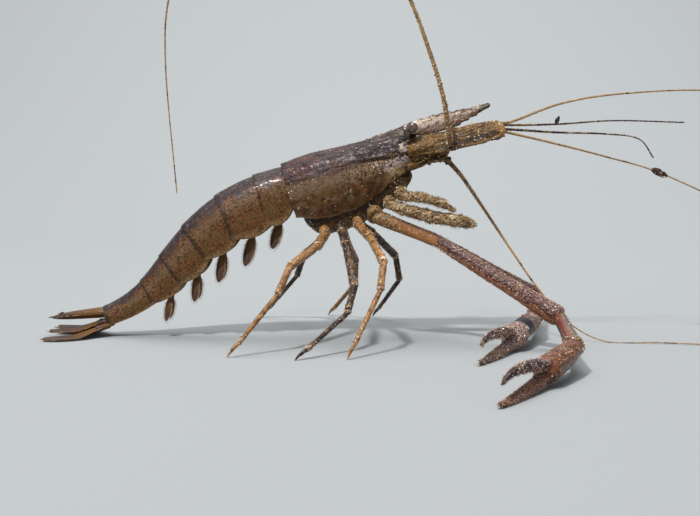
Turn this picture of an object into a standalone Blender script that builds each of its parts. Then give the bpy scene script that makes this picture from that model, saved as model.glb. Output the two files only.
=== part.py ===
"""A long-armed river prawn at life size, standing on its walking legs.

The head points along +X, +Y is the animal's left, +Z is up. Sizes below are in millimetres
and become metres when a body is made. The head is laid out along its own axis, which is
pitched nose-up: `head(along, up, side)` turns those coordinates into the model's.
"""

import math

import bmesh
import bpy
from mathutils import Matrix, Vector

MM = 0.001  # metres in a millimetre
GAP = 0.3  # clear space between neighbouring bodies
ROOT_GAP = 0.45  # the same where a leg leaves the breast, whose flank isn't quite flat
FLOOR = 0.0

# Head and carapace, measured from the middle of the orbit.
EYE_HEIGHT = 47.0
PITCH = math.radians(17.0)
CARAPACE_FRONT = -2.0
CARAPACE_BACK = -30.5
# (along, top, lower margin, half width)
CARAPACE = (
    (-2.0, 1.1, -8.4, 4.2),
    (-4.5, 0.9, -9.5, 5.1),
    (-10.0, 0.4, -11.8, 6.1),
    (-17.0, 0.6, -14.0, 6.7),
    (-25.0, 1.0, -14.0, 6.5),
    (-30.5, 0.6, -12.0, 5.8),
)
# (along, upper edge between its teeth, lower edge)
ROSTRUM = (
    (-1.7, 1.0, -1.8),
    (3.0, 0.95, -2.75),
    (7.5, 0.75, -3.0),
    (10.5, 0.45, -2.8),
    (13.0, 0.2, -1.8),
    (15.5, 0.15, -1.2),
    (18.2, 0.15, -0.75),
)
ROSTRUM_TIP = 18.2
ROSTRUM_TOP_TEETH = 9
ROSTRUM_TOOTH = 0.4
ROSTRUM_THICK = 0.85
EYE_RADIUS = 1.5
STERNUM_DEPTH = 3.2
STERNUM_TOP = 4.5  # half widths of the breast wedge that carries the legs
STERNUM_BOTTOM = 2.0

# Feelers.
FEELER_LEAST = 0.26  # thinnest radius of a feeler
SCALE_LENGTH = 18.2

# Second legs, the long arms: lengths of ischium, merus, carpus, palm and fingers.
ARM_LENGTHS = (15.0, 31.0, 28.5)
PALM_LENGTH = 16.5
FINGER_LENGTH = 19.0
ARM_RADII = (1.6, 2.05, 1.85)
PALM_RADIUS = 2.4
# (heading outwards from straight ahead, rise above level) in degrees of ischium, merus, carpus
RIGHT_ARM = ((14, -21), (28, -28.5), (95, -3.5))
LEFT_ARM = ((16, -21), (20, -28.5), (-100, -3.5))
RIGHT_HAND_HEADING = 120
LEFT_HAND_HEADING = -116
FINGER_REST = 0.3  # height of the fixed finger's tip, whose underside is flattened on the floor

# Third to fifth legs: lengths of basis with ischium, merus, carpus, propodus with dactyl.
LEG_LENGTHS = (5.5, 13.0, 7.0, 16.5)
LEG_RADII = (1.05, 0.95, 0.8, 0.62, 0.36)

# Tail: arc lengths of the six rings, and how steeply the axis falls at each joint (degrees).
SOMITES = (6.0, 8.5, 9.0, 8.0, 7.5, 11.0)
TAIL_FALL = (17.0, 21.5, 33.5, 45.0, 48.5, 41.0, 18.0)
TAIL_HALF_WIDTH = (5.6, 5.7, 5.5, 5.1, 4.4, 3.5, 2.7)
TAIL_ABOVE = (5.7, 5.8, 5.7, 5.2, 4.5, 3.6, 2.5)
TAIL_BELOW = (6.0, 7.4, 6.8, 6.0, 5.2, 3.4, 2.2)
TELSON_LENGTH = 12.5
UROPOD_LENGTHS = (13.5, 12.0)  # outer, inner

SIDES = (("right", -1.0), ("left", 1.0))


def finish(name, rgb, roughness):
    """A Principled material."""
    material = bpy.data.materials.new(name)
    material.use_nodes = True
    shader = material.node_tree.nodes["Principled BSDF"]
    shader.inputs["Base Color"].default_value = (*rgb, 1.0)
    shader.inputs["Roughness"].default_value = roughness
    shader.inputs["Metallic"].default_value = 0.0
    return material


def head(along, up, side=0.0):
    """A point of the head's own axes, in the model's."""
    return Vector((
        along * math.cos(PITCH) - up * math.sin(PITCH),
        side,
        EYE_HEIGHT + along * math.sin(PITCH) + up * math.cos(PITCH),
    ))


def direction(heading, rise, hand):
    """Unit vector: heading in degrees outwards from straight ahead, rise in degrees above level."""
    h, r = math.radians(heading), math.radians(rise)
    return Vector((math.cos(h) * math.cos(r), hand * math.sin(h) * math.cos(r), math.sin(r)))


def table_at(rows, place, column):
    """Smooth value of a table whose first column runs evenly up or down."""
    keys = [row[0] for row in rows]
    values = [row[column] for row in rows]
    return smooth(keys, values, place)


def smooth(keys, values, place):
    """Monotone-keyed Catmull-Rom interpolation."""
    if keys[0] > keys[-1]:
        keys, values, place = [-k for k in keys], values, -place
    place = min(max(place, keys[0]), keys[-1])
    i = max(k for k in range(len(keys) - 1) if keys[k] <= place + 1e-9)
    last = len(keys) - 1
    slope = [
        (values[min(k + 1, last)] - values[max(k - 1, 0)])
        / (keys[min(k + 1, last)] - keys[max(k - 1, 0)])
        for k in (i, i + 1)
    ]
    width = keys[i + 1] - keys[i]
    t = (place - keys[i]) / width
    return (
        (2 * t**3 - 3 * t**2 + 1) * values[i]
        + (t**3 - 2 * t**2 + t) * width * slope[0]
        + (3 * t**2 - 2 * t**3) * values[i + 1]
        + (t**3 - t**2) * width * slope[1]
    )


# ---------------------------------------------------------------- growing a body ring by ring


def extrude_ring(bm, edges, verts, targets):
    """Extrudes an open loop of edges and puts its new points at the targets."""
    made = bmesh.ops.extrude_edge_only(bm, edges=edges)["geom"]
    fresh = {g for g in made if isinstance(g, bmesh.types.BMVert)}
    grown = []
    for vert, target in zip(verts, targets):
        new = next(e.other_vert(vert) for e in vert.link_edges if e.other_vert(vert) in fresh)
        new.co = target * MM
        grown.append(new)
    return loop_edges(bm, grown), grown


def loop_edges(bm, verts):
    pairs = zip(verts, verts[1:] + verts[:1])
    return [bm.edges.get(pair) or bm.edges.new(pair) for pair in pairs]


def grow(name, rings, material, settle=False):
    """A closed body through the rings, each a list of points in millimetres, capped at both ends."""
    bm = bmesh.new()
    verts = [bm.verts.new(p * MM) for p in rings[0]]
    edges = loop_edges(bm, verts)
    bmesh.ops.edgeloop_fill(bm, edges=edges)
    for ring in rings[1:]:
        edges, verts = extrude_ring(bm, edges, verts, ring)
    bmesh.ops.edgeloop_fill(bm, edges=edges)
    if settle:
        for vert in bm.verts:
            vert.co.z = max(vert.co.z, FLOOR)
    bmesh.ops.recalc_face_normals(bm, faces=bm.faces)
    mesh = bpy.data.meshes.new(name)
    bm.to_mesh(mesh)
    bm.free()
    mesh.materials.append(material)
    mesh.shade_smooth()
    mesh.set_sharp_from_angle(angle=math.radians(50))
    body = bpy.data.objects.new(name, mesh)
    bpy.context.scene.collection.objects.link(body)
    return body


def oval(centre, run, side, wide, deep, count, plane=None):
    """A ring of points round `run`; `side` is the wide axis. `plane` slants it onto that normal."""
    run = run.normalized()
    side = (side - run * side.dot(run)).normalized()
    other = run.cross(side)
    ring = []
    for k in range(count):
        turn = math.tau * k / count
        off = side * (wide * math.cos(turn)) + other * (deep * math.sin(turn))
        if plane is not None:
            off -= run * (off.dot(plane) / run.dot(plane))
        ring.append(centre + off)
    return ring


def limb(joints, profiles, count, side, flats=(None, None), flatten=1.0, trim=(0.0, 0.0)):
    """Rings along a chain of joints, mitred at each bend.

    profiles holds, for each segment, its (share of the length, radius) stations.
    """
    runs = [(b - a).normalized() for a, b in zip(joints, joints[1:])]
    rings = []
    for k, stations in enumerate(profiles):
        length = (joints[k + 1] - joints[k]).length
        run = runs[k]
        side = (side - run * side.dot(run)).normalized()
        for share, radius in stations:
            here = joints[k] + run * (length * share)
            plane = None
            if share == 0.0 and k == 0:
                here = here + run * trim[0]
                plane = flats[0]
            elif share == 1.0:
                if k + 1 < len(runs):
                    plane = (runs[k] + runs[k + 1]).normalized()
                else:
                    here = here - run * trim[1]
                    plane = flats[1]
            rings.append(oval(here, run, side, radius, radius * flatten, count, plane))
    return rings


def chain(start, steps, hand):
    """Joints from a start and (length, heading, rise) steps."""
    joints = [start]
    for length, heading, rise in steps:
        joints.append(joints[-1] + direction(heading, rise, hand) * length)
    return joints


# ---------------------------------------------------------------- head and breast


def rounded_section(along, top, bottom, half, count, fullness=2.35):
    """A ring of the carapace: a superellipse between its top and lower margin."""
    ring = []
    for k in range(count):
        turn = math.tau * k / count + math.tau / 4
        c, s = math.cos(turn), math.sin(turn)
        side = half * math.copysign(abs(c) ** (2 / fullness), c)
        up = (top + bottom) / 2 + (top - bottom) / 2 * math.copysign(abs(s) ** (2 / fullness), s)
        ring.append(head(along, up, side))
    return ring


def carapace(shell):
    places = [CARAPACE_FRONT, -3.2, -5.2, -8.0, -12.0, -16.0, -20.0, -24.0, -28.0, CARAPACE_BACK]
    rings = [
        rounded_section(a, *(table_at(CARAPACE, a, column) for column in (1, 2, 3)), 18)
        for a in places
    ]
    grow("carapace", rings, shell)


def margin(along):
    """Height of the carapace's lower edge."""
    return table_at(CARAPACE, along, 2)


def rostrum(shell):
    """The toothed blade over the eyes, thickest along its middle."""
    start = CARAPACE_FRONT + GAP
    stations = []
    pitch = (ROSTRUM_TIP - start - 2.5) / ROSTRUM_TOP_TEETH
    for tooth in range(ROSTRUM_TOP_TEETH):
        root = start + pitch * tooth
        stations += [(root, 0.0), (root + pitch * 0.9, ROSTRUM_TOOTH)]
    stations += [(ROSTRUM_TIP - 2.4, 0.0), (ROSTRUM_TIP, 0.0)]
    rings = []
    for along, tooth in stations:
        t = (along - start) / (ROSTRUM_TIP - start)
        top = table_at(ROSTRUM, along, 1) + tooth
        bottom = table_at(ROSTRUM, along, 2)
        thick = ROSTRUM_THICK * (1 - 0.6 * t)
        middle = top * 0.4 + bottom * 0.6
        rings.append([
            head(along, top, -0.25), head(along, top, 0.25), head(along, middle, thick),
            head(along, bottom, 0.25), head(along, bottom, -0.25), head(along, middle, -thick),
        ])
    grow("rostrum", rings, shell)


def sternum(shell):
    """The wedge under the carapace that carries the mouthparts and legs."""
    rings = []
    for along in (-3.0, -6.0, -12.0, -18.0, -24.0, -28.5):
        top = margin(along) - ROOT_GAP
        taper = min(1.0, 0.55 + (-3.0 - along) * 0.15)
        low = top - STERNUM_DEPTH * taper
        rings.append([
            head(along, top, -STERNUM_TOP * taper), head(along, top, STERNUM_TOP * taper),
            head(along, low, STERNUM_BOTTOM * taper), head(along, low, -STERNUM_BOTTOM * taper),
        ])
    grow("thorax_underside", rings, shell)


def leg_root(along, hand):
    """(point clear of the breast wedge's flank, that flank's outward normal)."""
    normal = Vector((0.0, hand * STERNUM_DEPTH, -(STERNUM_TOP - STERNUM_BOTTOM))).normalized()
    turned = Matrix.Rotation(-PITCH, 3, "Y") @ normal
    taper = min(1.0, 0.55 + (-3.0 - along) * 0.15)
    side = hand * taper * (STERNUM_TOP + STERNUM_BOTTOM) / 2
    point = head(along, margin(along) - ROOT_GAP - STERNUM_DEPTH * taper / 2, side)
    return point + turned * ROOT_GAP, turned


def eyes(stalk):
    """A short stalk that swells into the round eye, on each side of the rostrum."""
    for name, hand in SIDES:
        root = head(0.2, -1.3, hand * (ROSTRUM_THICK + GAP + 0.15))
        eye = head(-0.2, -0.4, hand * 4.7)
        run = (eye - root).normalized()
        rings = [
            oval(root + run * 0.2, run, Vector((1, 0, 0)), 0.9, 0.9, 10),
            oval(root + run * 1.4, run, Vector((1, 0, 0)), 1.0, 1.0, 10),
        ]
        for step in range(1, 8):
            turn = math.radians(-62 + 152 * step / 7)
            radius = max(EYE_RADIUS * math.cos(turn), 0.2)
            rings.append(oval(eye + run * (EYE_RADIUS * math.sin(turn)), run, Vector((1, 0, 0)),
                              radius, radius, 10))
        grow(f"eye_{name}", rings, stalk)


# ---------------------------------------------------------------- feelers and scales


def spline(points, count):
    """Evenly numbered points of a Catmull-Rom curve through the given ones."""
    ends = [points[0] * 2 - points[1], *points, points[-1] * 2 - points[-2]]
    spans = len(points) - 1
    found = []
    for k in range(count + 1):
        place = spans * k / count
        i = min(int(place), spans - 1)
        t = place - i
        a, b, c, d = ends[i:i + 4]
        found.append(0.5 * (2 * b + (c - a) * t + (2 * a - 5 * b + 4 * c - d) * t * t
                            + (3 * b - 3 * c + d - a) * t**3))
    return found


def feeler_radius(share, thick, power):
    return max(FEELER_LEAST, thick * (1 - share) ** power + 0.1)


def feeler(name, points, thick, count, shell, span=(0.0, 1.0), power=0.8, settle=False, face=None):
    """A tapering tube along a smooth route, or the given share of it. face slants its first ring."""
    route = spline(points, 120)
    side = Vector((0, 1, 0))
    rings = []
    for k in range(count + 1):
        if k == 1 and face is not None and span[0] == 0.0:
            continue
        share = span[0] + (span[1] - span[0]) * k / count
        at = share * 120
        i = min(int(at), 119)
        here = route[i].lerp(route[i + 1], at - i)
        run = (route[i + 1] - route[i]).normalized()
        plane = None
        if share == 0.0 and face is not None:
            plane = face.normalized()
            here = here + plane * (GAP + 0.2)
        elif k == 0:
            here = here + run * (GAP / 2)
        if k == count:
            here = here - run * (GAP / 2)
        side = (side - run * side.dot(run)).normalized()
        radius = feeler_radius(share, thick, power)
        rings.append(oval(here, run, side, radius, radius, 6, plane))
    return grow(name, rings, shell, settle)


def antennule_base(hand):
    return [head(-1.7, -4.3, hand * 1.6), head(5.0, -4.1, hand * 1.7),
            head(9.5, -4.1, hand * 1.7), head(13.0, -4.2, hand * 1.6)]


def antennules(shell):
    """Each first feeler: a three-jointed base and two long lashes."""
    routes = {
        "right": (((22, 1), (33, 5), (46, 7), (65, 7.5), (84, 4.5)),
                  ((22, -1.6), (31, -3.7), (43, -6.8), (55, -10.4), (74, -19))),
        "left": (((22, 0.4), (33, 0.6), (46, 1.4), (62, 1)),
                 ((22, -0.6), (33, -1.2), (45, -1.5), (53, -2.6), (57, -7))),
    }  # (forward, above the eye)
    spread = {"right": (0.7, -0.7), "left": (-0.7, 0.7)}
    for name, hand in SIDES:
        base = antennule_base(hand)
        profile = [[(0.0, 1.15), (0.9, 1.2), (1.0, 1.05)], [(0.15, 1.1), (0.9, 1.0), (1.0, 0.95)],
                   [(0.15, 0.98), (1.0, 0.95)]]
        grow(f"antennule_base_{name}", limb(base, profile, 8, Vector((0, 1, 0))), shell)
        for which, route, shift in zip(("outer", "inner"), routes[name], spread[name]):
            rise = 0.42 if which == "outer" else -0.42
            start = head(13.0 + GAP / 2, -4.2 + rise, hand * (1.6 - 0.1))
            points = [start, Vector((17.5, hand * 1.75, EYE_HEIGHT + rise * 1.6 + 0.1))]
            for k, (x, z) in enumerate(route):
                points.append(Vector((x, hand * (1.9 + shift * 1.4 * k + 1.1 * k), EYE_HEIGHT + z)))
            feeler(f"antennule_{which}_lash_{name}", points, 0.32, 20, shell, power=1.0)


def antenna_base(hand):
    """Joints of a second feeler's base: the right one ends turned up and out, the left one down."""
    end = head(6.2, -9.2, 6.2 * hand) if hand < 0 else head(6.0, -10.0, 4.8)
    return [head(-1.45, -6.6, hand * 2.8), head(1.8, -7.6, hand * 3.4), head(4.6, -8.5, hand * 4.2), end]


def antennae(shell):
    """The second feelers. The right one arches over the back, the left one droops to the floor."""
    for name, hand in SIDES:
        profile = [[(0.0, 1.3), (0.85, 1.3), (1.0, 1.2)], [(0.5, 1.2), (1.0, 1.05)],
                   [(0.5, 0.95), (1.0, 0.85)]]
        grow(f"antenna_base_{name}", limb(antenna_base(hand), profile, 8, Vector((0, 1, 0))), shell)
    over = ((-8.2, 8.6, -4.6), (-9.1, 7.5, -0.5), (-9.6, 5.6, 6.5), (-10.0, 2.9, 15), (-10.3, -2.2, 29),
            (-10.0, -12, 47), (-9.6, -30, 56), (-9.3, -46.5, 47), (-9.2, -53, 29), (-9.4, -54, 13),
            (-9.6, -51.5, -15))  # (side, forward, above the eye)
    route = [antenna_base(-1.0)[-1]] + [Vector((x, y, EYE_HEIGHT + z)) for y, x, z in over]
    face = antenna_base(-1.0)[-1] - antenna_base(-1.0)[-2]
    spans = (("root", (0, 0.34), 15), ("middle", (0.34, 0.68), 17), ("tip", (0.68, 1), 13))
    for part, span, count in spans:
        feeler(f"antenna_lash_right_{part}", route, 0.62, count, shell, span, face=face)
    down = ((6.8, 11.6, -11.0), (7.6, 15.4, -16.4), (6.2, 19.4, -22.6), (2.0, 23.4, -29.2),
            (-3.0, 28.0, -36.4), (-7.5, 33.6, -43.0), (-11.0, 41.0, FEELER_LEAST - EYE_HEIGHT),
            (-13.0, 52.0, FEELER_LEAST - EYE_HEIGHT), (-17.0, 66.0, FEELER_LEAST - EYE_HEIGHT),
            (-23.0, 80.0, FEELER_LEAST - EYE_HEIGHT))
    route = [antenna_base(1.0)[-1]] + [Vector((x, y, EYE_HEIGHT + z)) for y, x, z in down]
    face = antenna_base(1.0)[-1] - antenna_base(1.0)[-2]
    for part, span, count in (("root", (0, 0.6), 18), ("tip", (0.6, 1), 12)):
        feeler(f"antenna_lash_left_{part}", route, 0.52, count, shell, span, 1.0, True, face)


def antennal_scales(shell):
    """The flat blades beside the feelers, rolled so that the outer edge hangs lower."""
    outline = ((0.0, 0.10), (0.12, 0.2), (0.3, 0.42), (0.55, 0.52), (0.8, 0.47), (0.94, 0.34), (1.0, 0.2))
    for name, hand in SIDES:
        run = (head(20.6, -5.5, hand * 4.0) - head(0.0, -4.6, hand * 4.2)).normalized()
        across = (head(0, -7.6, hand * 6.2) - head(0, -2.9, hand * 2.9)).normalized()
        start = head(CARAPACE_FRONT + GAP, -4.7, hand * 4.2)
        rings = []
        for share, half in outline:
            here = start + run * (share * (SCALE_LENGTH + 3.0)) + across * (0.9 * min(1.0, share * 4))
            thick = 0.45 if share else 0.6
            rings.append(oval(here, run, across, half * 5.9, thick, 10))
        grow(f"antennal_scale_{name}", rings, shell)


# ---------------------------------------------------------------- legs


def mouth_legs(shell):
    """Third maxillipeds and the small first legs, folded forward under the head."""
    for name, hand in SIDES:
        root, normal = leg_root(-6.9, hand)
        joints = [root, root + normal * 2.0]
        joints += chain(joints[-1], ((5.6, 22, -6), (4.6, -10, -20), (3.3, -14, -34)), hand)[1:]
        profiles = [[(0.0, 0.95), (1.0, 0.95)], [(0.5, 1.0), (1.0, 0.85)], [(0.5, 0.95), (1.0, 0.8)],
                    [(0.6, 0.8), (1.0, 0.3)]]
        grow(f"maxilliped_{name}", limb(joints, profiles, 7, Vector((0, 1, 0)), (normal, None)), shell)

        root, normal = leg_root(-10.0, hand)
        joints = [root, root + normal * 1.5]
        steps = ((4.0, 24, -22), (6.2, 6, -16), (5.6, -6, -13), (2.7, -8, -14), (2.6, -8, -20))
        joints += chain(joints[-1], steps, hand)[1:]
        profiles = [[(0.0, 0.95), (1.0, 0.9)], [(0.5, 0.85), (1.0, 0.85)], [(0.5, 0.9), (1.0, 0.8)],
                    [(0.5, 0.75), (1.0, 0.8)], [(0.4, 1.05), (1.0, 0.95)], [(0.5, 0.75), (1.0, 0.3)]]
        grow(f"leg1_{name}", limb(joints, profiles, 7, Vector((0, 1, 0)), (normal, None)), shell)


def arm_joints(name, hand):
    """Joints of a long arm from the breast to its finger tip, which reaches the floor."""
    root, normal = leg_root(-13.8, hand)
    poses = RIGHT_ARM if name == "right" else LEFT_ARM
    heading = RIGHT_HAND_HEADING if name == "right" else LEFT_HAND_HEADING
    joints = [root, root + normal * 2.2]
    steps = [(length, *pose) for length, pose in zip(ARM_LENGTHS, poses)]
    joints += chain(joints[-1], steps, hand)[1:]
    reach = PALM_LENGTH + FINGER_LENGTH
    drop = -math.degrees(math.asin((joints[-1].z - FINGER_REST) / reach))
    joints.append(joints[-1] + direction(heading, drop, hand) * reach)
    return joints, normal


def hand_axes(joints):
    """(along the hand, towards the movable finger) as unit vectors. The movable one is on top."""
    run = (joints[-1] - joints[-2]).normalized()
    up = Vector((0.0, 0.0, 1.0))
    return run, (up - run * up.dot(run)).normalized()


def arms(shell):
    for name, hand in SIDES:
        joints, normal = arm_joints(name, hand)
        side = Vector((0, 1, 0))
        bends = [(b - a).normalized() for a, b in zip(joints, joints[1:])]
        elbow = (bends[2] + bends[3]).normalized()
        wrist = (bends[3] + bends[4]).normalized()
        upper = [[(0.0, 1.75), (1.0, 1.6)],
                 [(0.2, 1.5), (0.9, ARM_RADII[0]), (1.0, ARM_RADII[0] * 0.95)],
                 [(0.08, 1.5), (0.5, ARM_RADII[1] * 0.88), (0.9, ARM_RADII[1] * 1.05), (1.0, ARM_RADII[1])]]
        rings = limb(joints[:4], upper, 9, side, (normal, elbow), trim=(0, GAP / 2))
        grow(f"arm_merus_{name}", rings, shell)
        carpus = [[(0.0, 1.6), (0.1, 1.65), (0.5, 1.75), (0.9, ARM_RADII[2] * 1.05), (1.0, ARM_RADII[2])]]
        rings = limb(joints[3:5], carpus, 9, side, (elbow, wrist), trim=(GAP / 2, GAP / 2))
        grow(f"arm_carpus_{name}", rings, shell)
        palm_and_finger(name, joints, wrist, shell)


def palm_and_finger(name, joints, wrist, shell):
    """The palm runs on into the fixed finger; the movable one stands on its far end."""
    run, open_way = hand_axes(joints)
    start, tip = joints[-2], joints[-1]
    side = run.cross(open_way)
    knuckle = PALM_LENGTH - 1.0
    stations = ((0.0, 1.7), (2.7, 1.95), (7.0, PALM_RADIUS * 0.95), (12.0, PALM_RADIUS),
                (knuckle, PALM_RADIUS * 0.97))
    rings = []
    for along, radius in stations:
        plane = wrist if along == 0.0 else None
        here = start + run * (along + (GAP / 2 if along == 0.0 else 0.0))
        rings.append(oval(here, run, side, radius, radius, 10, plane))
    reach = (tip - start).length
    for share, radius in ((0.015, 1.15), (0.35, 1.0), (0.7, 0.78), (0.93, 0.5), (1.0, 0.36)):
        along = knuckle + (reach - knuckle) * share
        bow = -1.05 * math.sin(math.pi * (0.4 + 0.6 * share)) * (1 - 0.3 * share)
        rings.append(oval(start + run * along + open_way * bow, run, side, radius, radius * 1.05, 10))
    grow(f"arm_palm_{name}", rings, shell, settle=True)
    rings = []
    root = start + run * (knuckle + GAP + 0.7) + open_way * 1.5
    for share, radius in ((0.0, 0.9), (0.12, 1.1), (0.4, 0.95), (0.7, 0.75), (0.92, 0.45), (1.0, 0.28)):
        lift = 2.6 * math.sin(math.pi * share * 0.62)
        here = root + run * (share * (FINGER_LENGTH - 1.2)) + open_way * lift
        rings.append(oval(here, run, side, radius, radius, 8))
    grow(f"arm_finger_{name}", rings, shell)


def walking_joints(along, steps, hand):
    """Joints of a walking leg. The last step's rise is whatever takes its point to the floor."""
    root, normal = leg_root(along, hand)
    joints = [root, root + normal * 1.8]
    joints += chain(joints[-1], steps[:-1], hand)[1:]
    length, heading, _ = steps[-1]
    drop = -math.degrees(math.asin(min(1.0, (joints[-1].z - FLOOR) / length)))
    joints.append(joints[-1] + direction(heading, drop, hand) * length)
    return joints, normal


def walking_poses():
    """(leg, place along the breast, poses of the right leg, poses of the left leg)."""
    a, b, c, d = LEG_LENGTHS
    return (
        ("leg3", -18.0, ((a, 60, -25), (b, 78, -20), (c, 100, -50), (d, 130, 0)),
         ((a, 48, -25), (b, 60, -28), (c, 72, -60), (d, 120, 0))),
        ("leg4", -21.8, ((a, 80, -30), (b, 80, -38), (c, 108, -45), (d, 135, 0)),
         ((a, 82, -28), (b, 78, -28), (c, 92, -56), (d, 120, 0))),
        ("leg5", -25.6, ((a, 110, -25), (b, 115, -15), (c, 120, -50), (d, 148, 0)),
         ((a, 108, -25), (b, 110, -18), (c, 116, -52), (d, 140, 0))),
    )


def walking_legs(shell):
    r = LEG_RADII
    profiles = [[(0.0, 1.1), (1.0, 1.05)], [(0.5, r[0]), (1.0, r[0])],
                [(0.2, r[1]), (0.8, r[1]), (1.0, r[1] * 0.95)], [(0.2, r[2]), (0.85, r[2]), (1.0, r[2] * 0.92)],
                [(0.15, r[3]), (0.7, r[3] * 0.9), (0.78, r[3] * 0.85), (1.0, r[4])]]
    for leg, along, *poses in walking_poses():
        for (name, hand), steps in zip(SIDES, poses):
            joints, normal = walking_joints(along, steps, hand)
            rings = limb(joints, profiles, 7, Vector((0, 1, 0)), (normal, Vector((0, 0, 1))))
            grow(f"{leg}_{name}", rings, shell)


# ---------------------------------------------------------------- tail


def tail_axis():
    """Samples (arc length, point, fall in radians) of the tail's middle line."""
    joints = [0.0]
    for length in SOMITES:
        joints.append(joints[-1] + length)
    back = table_at(CARAPACE, CARAPACE_BACK, 1), margin(CARAPACE_BACK)
    here = head(CARAPACE_BACK - GAP, sum(back) / 2 + 0.2)
    samples = []
    step = 0.25
    for k in range(int(joints[-1] / step) + 1):
        fall = math.radians(smooth(joints, TAIL_FALL, k * step))
        samples.append((k * step, here.copy(), fall))
        here = here + Vector((-math.cos(fall), 0.0, -math.sin(fall))) * step
    return joints, samples


def tail_frame(samples, place):
    """(point, backward direction, upward direction) of the tail at an arc length."""
    k = min(range(len(samples)), key=lambda i: abs(samples[i][0] - place))
    at, point, fall = samples[k]
    back = Vector((-math.cos(fall), 0.0, -math.sin(fall)))
    return point + back * (place - at), back, Vector((-math.sin(fall), 0.0, math.cos(fall)))


def somite_section(point, up, half, above, below, flap):
    """A ring of a tail segment: arched back, side plates hanging past a hollow belly."""
    half_ring = [(math.sin(math.radians(a)), math.cos(math.radians(a))) for a in (0, 26, 50, 72, 92)]
    right = [(half * s, above * c) for s, c in half_ring]
    tip = -below * flap
    right += [(half * 0.98, tip * 0.55), (half * 0.86, tip), (half * 0.66, tip * 0.9),
              (half * 0.52, -below * 0.5)]
    outline = right + [(0.0, -below * 0.46)] + [(-y, z) for y, z in reversed(right[1:])]
    return [point + Vector((0, y, 0)) + up * z for y, z in outline]


def somites(shell):
    joints, samples = tail_axis()
    for n in range(len(SOMITES)):
        start, end = joints[n] + GAP / 2, joints[n + 1] - GAP / 2
        rings = []
        for share in (0.0, 0.28, 0.72, 1.0):
            place = start + (end - start) * share
            point, _, up = tail_frame(samples, place)
            half, above, below = (smooth(joints, row, place)
                                  for row in (TAIL_HALF_WIDTH, TAIL_ABOVE, TAIL_BELOW))
            flap = 0.78 + 0.3 * math.sin(math.pi * min(max(share, 0.06), 0.94)) if n < 5 else 0.9
            rings.append(somite_section(point, up, half, above, below, flap))
        grow(f"abdomen_{n + 1}", rings, shell)


def blade(root, run, across, length, half, thick, count, outline):
    """Rings of a flat leaf. outline is (share of length, share of half width)."""
    return [oval(root + run * (length * s), run, across, max(half * w, 0.3), thick, count)
            for s, w in outline]


def tail_fan(shell):
    """Telson between two pairs of blades that rest on the floor."""
    joints, samples = tail_axis()
    point, back, up = tail_frame(samples, joints[-1])
    level = Vector((-1, 0, 0))
    fan_run = (level + Vector((0, 0, -0.10))).normalized()
    start = point + up * 1.05 + back * (GAP / 2 + 0.2)
    rings = [oval(start + fan_run * (TELSON_LENGTH * s), fan_run, Vector((0, 1, 0)), half, thick, 10)
             for s, half, thick in ((0, 2.3, 1.25), (0.3, 2.1, 1.15), (0.7, 1.45, 0.9), (0.92, 1.0, 0.6),
                                    (1.0, 0.45, 0.35))]
    grow("telson", rings, shell)
    leaf = ((0.0, 0.35), (0.12, 0.5), (0.35, 0.85), (0.6, 1.0), (0.82, 0.86), (0.94, 0.55), (1.0, 0.25))
    # (which, length, half width, turn outwards, root: behind, sideways, height; height it lies at)
    blades = (("outer", UROPOD_LENGTHS[0], 2.9, 30.0, 0.8, 2.7, 2.3, 0.34),
              ("inner", UROPOD_LENGTHS[1], 2.3, 12.0, 0.8, 1.3, 3.3, 1.45))
    for name, hand in SIDES:
        for which, length, half, turn, behind, sideways, height, lies in blades:
            h = math.radians(turn)
            root = point + back * behind
            root = Vector((root.x, hand * sideways, height))
            run = Vector((-math.cos(h), hand * math.sin(h), 0.0))
            across = Vector((0, 0, 1)).cross(run)
            rings = []
            for share, wide in leaf:
                here = root + run * (length * share)
                here.z = height + (lies - height) * min(share / 0.5, 1.0)
                rings.append(oval(here, run, across, half * wide, 0.34, 10))
            grow(f"uropod_{which}_{name}", rings, shell, settle=True)


def swimmerets(shell):
    """Five pairs of leaf-shaped legs under the tail, raked back more towards its end."""
    joints, samples = tail_axis()
    rake = (58, 52, 45, 40, 36)
    widths = (1.6, 1.6, 1.5, 1.35, 1.1)
    leaf = ((0.0, 0.34), (0.2, 0.4), (0.28, 0.55), (0.5, 1.0), (0.75, 0.95), (0.93, 0.55), (1.0, 0.25))
    for n in range(5):
        place = (joints[n] + joints[n + 1]) / 2 - 0.6
        point, back, up = tail_frame(samples, place)
        below, half = smooth(joints, TAIL_BELOW, place), smooth(joints, TAIL_HALF_WIDTH, place)
        r = math.radians(rake[n])
        run = back * math.cos(r) - up * math.sin(r)
        for name, hand in SIDES:
            root = point - up * (below * 0.5 + GAP + 0.55) + Vector((0, hand * (half * 0.12 + 1.35), 0))
            rings = blade(root, run, Vector((0, 1, 0)), (9.5, 10.5, 10.0, 9.0, 8.0)[n],
                          widths[n], 0.36, 8, leaf)
            grow(f"swimmeret{n + 1}_{name}", rings, shell)


def stand_on_origin():
    """Moves every body so that the model's box is centred over the origin, its foot at the floor."""
    bpy.context.view_layer.update()
    bodies = [o for o in bpy.data.objects if o.type == "MESH"]
    points = [o.matrix_world @ v.co for o in bodies for v in o.data.vertices]
    middle = [(min(p[i] for p in points) + max(p[i] for p in points)) / 2 for i in (0, 1)]
    for body in bodies:
        body.location = (-middle[0], -middle[1], 0.0)


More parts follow.
